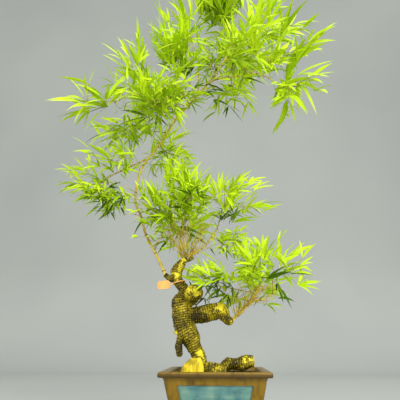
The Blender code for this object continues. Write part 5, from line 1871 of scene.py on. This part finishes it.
def strap_skin(pile, places, flats, closed=False):
    """A flat band through places, its flat face along the flats given."""
    verts = []
    for index, (place, flat) in enumerate(zip(places, flats)):
        if closed:
            ahead = places[(index + 1) % len(places)] - places[index - 1]
        else:
            ahead = places[min(index + 1, len(places) - 1)] - places[max(index - 1, 0)]
        ahead.normalize()
        flat = (flat - ahead * flat.dot(ahead)).normalized()
        width = ahead.cross(flat)
        for across, out in ((-0.5, -0.35), (-0.42, 0.5), (0.42, 0.5), (0.5, -0.35)):
            verts.append(place + width * across * TIE_WIDTH + flat * out * TIE_THICKNESS)
    faces = tube_faces(len(places), 4, closed)
    if not closed:
        last = len(verts) - 4
        faces += [(3, 2, 1, 0), (last, last + 1, last + 2, last + 3)]
    pile.add(verts, faces)


def card_skin(pile, centre):
    """A thin card with rounded corners that curls a little."""
    wide, thick, high = TAG_CARD
    turn = Matrix.Rotation(-TAG_TILT, 3, "Y")
    count = (TAG_COLUMNS + 1) * (TAG_ROWS + 1)
    verts = []
    for face in (-0.5, 0.5):
        for row in range(TAG_ROWS + 1):
            for column in range(TAG_COLUMNS + 1):
                x, z = 2 * column / TAG_COLUMNS - 1, 2 * row / TAG_ROWS - 1
                corner = TAG_CORNER / high
                pull = 1 - corner * max(0, abs(x) - 1 + 2 * TAG_CORNER / wide) * wide / TAG_CORNER
                curl = TAG_CURL * (x * x - 0.4)
                point = Vector((x * wide / 2, curl + face * thick, z * high / 2 * pull))
                verts.append(centre + turn @ point)
    faces = []
    for quad in grid_faces(TAG_COLUMNS, TAG_ROWS):
        faces += [quad, tuple(count + index for index in reversed(quad))]
    rim = [index for side in grid_sides(TAG_COLUMNS, TAG_ROWS) for index in side[:-1]]
    for index, here in enumerate(rim):
        beside = rim[(index + 1) % len(rim)]
        faces.append((beside, here, here + count, beside + count))
    pile.add(verts, faces)


def tie_label(look, runs):
    point, along, thick = place_on(runs["trunk"], TIE_SHARE)
    centre = Vector(TAG_CENTRE) * MM
    anchor = centre + Vector((TAG_CARD[0] / 2 - STRAP_ON_CARD, -TAG_CARD[1], 0))
    upright = (along + Vector((0, 0, 1))).normalized()
    aside = (anchor - point - upright * (anchor - point).dot(upright)).normalized()
    front = upright.cross(aside)
    radius = thick + TIE_CLEARANCE
    turns = [math.tau * step / TIE_STEPS for step in range(TIE_STEPS)]
    outs = [aside * math.cos(turn) + front * math.sin(turn) for turn in turns]
    pile = Pile()
    strap_skin(pile, [point + out * radius for out in outs], outs, closed=True)
    start = point + aside * radius
    flat = (anchor - start).cross(upright)
    if flat.y > 0:
        flat = -flat
    places = []
    for step in range(STRAP_STEPS + 1):
        share = step / STRAP_STEPS
        sag = Vector((0, 0, -STRAP_SAG * 4 * share * (1 - share)))
        places.append(start.lerp(anchor, share) + sag)
    strap_skin(pile, places, [flat] * len(places))
    card_skin(pile, centre)
    mesh = pile.mesh("plant_label")
    mesh.set_sharp_from_angle(angle=math.radians(40))
    add_piece("plant_label", mesh, card_finish(look), ["tag"])


# Stage

FLOOR_HALF = 14.0
BACKDROP_START, BACKDROP_ROUND, BACKDROP_TOP = 2.4, 1.1, 8.0
BACKDROP_STEPS = 16
CAMERA_PLACE = (0.0183, -0.9295, 0.2072)
CAMERA_TILT, CAMERA_TURN = math.radians(110), math.radians(3.23)
LENS, SENSOR = 36, 36
Lamp = namedtuple("Lamp", "name place aim size watts")
LAMPS = (
    Lamp("front_light", (1.5, -2.6, 1.7), (0, 0, 0.6), 1.6, 74),
    Lamp("top_light", (0.6, -0.3, 3.0), (0, 0, 0.6), 2.0, 20),
    Lamp("side_light", (-2.6, -1.4, 1.2), (0, 0, 0.5), 1.6, 18),
)


def set_stage(look):
    """A pale floor that sweeps up behind the pot, soft lights and the camera."""
    profile = [(-FLOOR_HALF, 0.0)]
    for step in range(BACKDROP_STEPS + 1):
        angle = math.pi / 2 * step / BACKDROP_STEPS
        away = BACKDROP_START + BACKDROP_ROUND * math.sin(angle)
        profile.append((away, BACKDROP_ROUND * (1 - math.cos(angle))))
    profile.append((BACKDROP_START + BACKDROP_ROUND, BACKDROP_TOP))
    verts = [Vector((side * FLOOR_HALF, y, z)) for y, z in profile for side in (-1, 1)]
    faces = [(2 * row, 2 * row + 1, 2 * row + 3, 2 * row + 2) for row in range(len(profile) - 1)]
    sweep = add_object("sweep", mesh_of("sweep", verts, faces))
    finish = Finish("pale_sweep", {"Roughness": 0.9, "Specular IOR Level": 0.1})
    cloud = finish.noise(0.6, 2)
    finish.set("Base Color", finish.ramp(cloud, (0.3, look.sweep_dark), (0.7, look.sweep_light)))
    sweep.data.materials.append(finish.material)

    world = bpy.data.worlds.new("soft_room")
    world.use_nodes = True
    background = world.node_tree.nodes["Background"]
    background.inputs["Color"].default_value = (*look.room, 1)
    background.inputs["Strength"].default_value = look.room_strength
    bpy.context.scene.world = world

    for lamp in LAMPS:
        light = bpy.data.lights.new(lamp.name, "AREA")
        light.shape, light.size = "DISK", lamp.size
        light.energy = lamp.watts * look.lamp_strength
        holder = add_object(lamp.name, light)
        holder.location = lamp.place
        toward = Vector(lamp.aim) - Vector(lamp.place)
        holder.rotation_euler = toward.to_track_quat("-Z", "Y").to_euler()

    view = bpy.data.cameras.new("front_view")
    view.lens, view.sensor_width = LENS, SENSOR
    camera = add_object("front_view", view)
    camera.location = CAMERA_PLACE
    camera.rotation_euler = (CAMERA_TILT, 0, CAMERA_TURN)
    bpy.context.scene.camera = camera
    bpy.context.scene.view_settings.view_transform = "Standard"


# Settings, operators and panel


def a_colour(name, description, red, green, blue):
    return FloatVectorProperty(name=name, description=description, subtype="COLOR", min=0, max=1,
                               default=srgb(red, green, blue))


def a_number(name, description, default, **kind):
    return FloatProperty(name=name, description=description, default=default, min=0, **kind)


def a_length(name, description, default):
    return a_number(name, description, default, subtype="DISTANCE", unit="LENGTH")


def a_share(name, description, default):
    return a_number(name, description, default, subtype="FACTOR")


class PotLook(PropertyGroup):
    glaze: a_colour("Glaze", "The pot's main glaze", 132, 102, 8)
    glaze_dark: a_colour("Dark glaze", "Where the glaze is thick", 70, 50, 4)
    glaze_light: a_colour("Light glaze", "Where the glaze runs golden", 176, 138, 42)
    glaze_thin: a_colour("Thin glaze", "Where the glaze breaks pale over an edge", 156, 134, 82)
    panel: a_colour("Panel", "The panels' main glaze", 100, 142, 132)
    panel_dark: a_colour("Dark panel", "The panels' darker clouds", 64, 114, 118)
    panel_light: a_colour("Light panel", "The panels' lighter clouds", 144, 170, 144)
    panel_wash: a_colour("Panel wash", "The brown wash low on the panels", 86, 84, 50)
    soil: a_colour("Soil", "The soil", 45, 34, 14)
    soil_dark: a_colour("Dark soil", "Between the crumbs", 18, 13, 6)
    soil_light: a_colour("Light soil", "The palest crumbs", 92, 72, 40)


class BarkLook(PropertyGroup):
    # The gap colour also serves as painted shade between the nubs, and the worn and golden colours as
    # painted highlight on their tops as well as wear
    bark_gap: a_colour("Gaps", "Between the bark's nubs", 44, 36, 4)
    bark: a_colour("Bark", "The bark", 92, 82, 8)
    bark_worn: a_colour("Worn bark", "The nubs where they are worn", 158, 140, 22)
    bark_gold: a_colour("Golden bark", "The brightest nubs", 222, 200, 44)
    cut_wood: a_colour("Cut wood", "Freshly cut wood", 250, 234, 52)
    wedge_gold: a_colour("Wedge", "The chopped wedge's darker fibres", 226, 198, 40)
    bark_step: a_length("Step", "How far apart the bark's points are", 0.0010)
    ring_width: a_length("Ring", "From one ring of nubs to the next", 0.0052)
    nub_width: a_length("Nub", "From one nub to the next round a ring", 0.0058)
    nub_depth: a_length("Nub depth", "How far the nubs stand out", 0.0029)


class CaneLook(PropertyGroup):
    cane: a_colour("Cane", "The canes", 204, 178, 58)
    cane_dark: a_colour("Dark cane", "The canes' darker streaks", 150, 116, 34)
    cane_light: a_colour("Light cane", "The canes' lighter streaks", 224, 202, 96)
    cane_joint: a_colour("Joint", "The canes' joints", 92, 62, 18)
    twig: a_colour("Twig", "The thin twigs", 156, 138, 46)


class LeafLook(PropertyGroup):
    blade_length: a_length("Leaf length", "A full leaf's length", 0.081)
    blade_width: a_share("Leaf width", "A leaf's width as a share of its length", 0.135)
    least_blade_width: a_length("Least width", "The narrowest that a leaf is", 0.0055)
    blade_fold: a_share("Fold", "How far a leaf's edges stand above its midrib", 0.35)
    blade_droop: a_share("Droop", "How far a leaf arches over", 0.14)
    leaf_fill: a_share("Fill", "How full every mass is", 1.0)
    twig_share: a_share("Twig width", "The twigs' width as a share of the part's", 0.62)
    leaf_deep: a_colour("Deep leaves", "Leaves deep in the shade", 80, 114, 6)
    leaf_shade: a_colour("Shaded leaves", "Leaves in the shade", 148, 180, 14)
    leaf_mid: a_colour("Middle leaves", "Leaves between light and shade", 188, 220, 20)
    leaf_bright: a_colour("Bright leaves", "Leaves in the light", 198, 226, 22)
    # Painted light: the lime leaves are the ones in the fullest painted light
    leaf_lime: a_colour("Lime leaves", "The youngest leaves", 204, 232, 32)


class TagLook(PropertyGroup):
    card: a_colour("Card", "The label's card", 255, 190, 104)
    card_shade: a_colour("Card shade", "The card's darker fibres", 244, 160, 76)


class StageLook(PropertyGroup):
    sweep_light: a_colour("Light floor", "The floor's lighter clouds", 184, 187, 182)
    sweep_dark: a_colour("Dark floor", "The floor's darker clouds", 174, 177, 174)
    room: a_colour("Room", "The light all round", 236, 238, 236)
    room_strength: a_number("Room strength", "How strong that light is", 1.16)
    lamp_strength: a_number("Lamp strength", "How strong the lamps are", 1.0)


LOOKS = {
    "bamboo_pot": PotLook,
    "bamboo_bark": BarkLook,
    "bamboo_canes": CaneLook,
    "bamboo_leaves": LeafLook,
    "bamboo_tag": TagLook,
    "bamboo_stage": StageLook,
}


class BAMBOO_OT_throw_pot(Operator):
    """Throws the glazed pot and fires its panels"""

    bl_idname = "bamboo.throw_pot"
    bl_label = "Pot and Panels"

    def execute(self, context):
        throw_pot(context.scene.bamboo_pot)
        fire_panels(context.scene.bamboo_pot)
        return {"FINISHED"}


class BAMBOO_OT_fill_pot(Operator):
    """Fills the pot with soil"""

    bl_idname = "bamboo.fill_pot"
    bl_label = "Soil"

    def execute(self, context):
        fill_pot(context.scene.bamboo_pot)
        return {"FINISHED"}


class BAMBOO_OT_carve_rhizome(Operator):
    """Carves the rhizome's trunk, arm and stumps, and the chopped wedge at its foot"""

    bl_idname = "bamboo.carve_rhizome"
    bl_label = "Rhizome"

    def execute(self, context):
        carve_rhizome(context.scene.bamboo_bark)
        chop_wedge(context.scene.bamboo_bark)
        return {"FINISHED"}


class BAMBOO_OT_raise_canes(Operator):
    """Raises the culm, its boughs and the thin canes"""

    bl_idname = "bamboo.raise_canes"
    bl_label = "Canes"

    def execute(self, context):
        raise_canes(context.scene.bamboo_canes, limb_runs()[1])
        return {"FINISHED"}


class BAMBOO_OT_grow_foliage(Operator):
    """Grows the twigs and leaves of every mass"""

    bl_idname = "bamboo.grow_foliage"
    bl_label = "Foliage"

    def execute(self, context):
        grow_foliage(context.scene.bamboo_leaves, context.scene.bamboo_canes, limb_runs()[0])
        return {"FINISHED"}


class BAMBOO_OT_tie_label(Operator):
    """Ties the blank label round the neck"""

    bl_idname = "bamboo.tie_label"
    bl_label = "Label"

    def execute(self, context):
        tie_label(context.scene.bamboo_tag, limb_runs()[0])
        return {"FINISHED"}


class BAMBOO_OT_set_stage(Operator):
    """Sets the pale floor, the soft light and the camera"""

    bl_idname = "bamboo.set_stage"
    bl_label = "Stage"

    def execute(self, context):
        set_stage(context.scene.bamboo_stage)
        return {"FINISHED"}


OPERATORS = (
    BAMBOO_OT_throw_pot,
    BAMBOO_OT_fill_pot,
    BAMBOO_OT_carve_rhizome,
    BAMBOO_OT_raise_canes,
    BAMBOO_OT_grow_foliage,
    BAMBOO_OT_tie_label,
    BAMBOO_OT_set_stage,
)


class BAMBOO_PT_looks(Panel):
    """Lists the bamboo's pieces and their settings"""

    bl_idname = "BAMBOO_PT_looks"
    bl_label = "Potted Bamboo"
    bl_space_type = "VIEW_3D"
    bl_region_type = "UI"
    bl_category = "Bamboo"

    def draw(self, context):
        for operator in OPERATORS:
            self.layout.operator(operator.bl_idname)
        for key, group in LOOKS.items():
            box = self.layout.box()
            box.label(text=key.replace("_", " ").title())
            for name in group.__annotations__:
                box.prop(getattr(context.scene, key), name)


def register():
    for group in (*LOOKS.values(), *OPERATORS, BAMBOO_PT_looks):
        bpy.utils.register_class(group)
    for key, group in LOOKS.items():
        setattr(bpy.types.Scene, key, PointerProperty(type=group))


def unregister():
    for key in LOOKS:
        delattr(bpy.types.Scene, key)
    for group in (BAMBOO_PT_looks, *reversed(OPERATORS), *reversed(list(LOOKS.values()))):
        bpy.utils.unregister_class(group)


def main():
    register()
    bpy.ops.bamboo.throw_pot()
    bpy.ops.bamboo.fill_pot()
    bpy.ops.bamboo.carve_rhizome()
    bpy.ops.bamboo.raise_canes()
    bpy.ops.bamboo.grow_foliage()
    bpy.ops.bamboo.tie_label()
    bpy.ops.bamboo.set_stage()


if __name__ == "__main__":
    main()
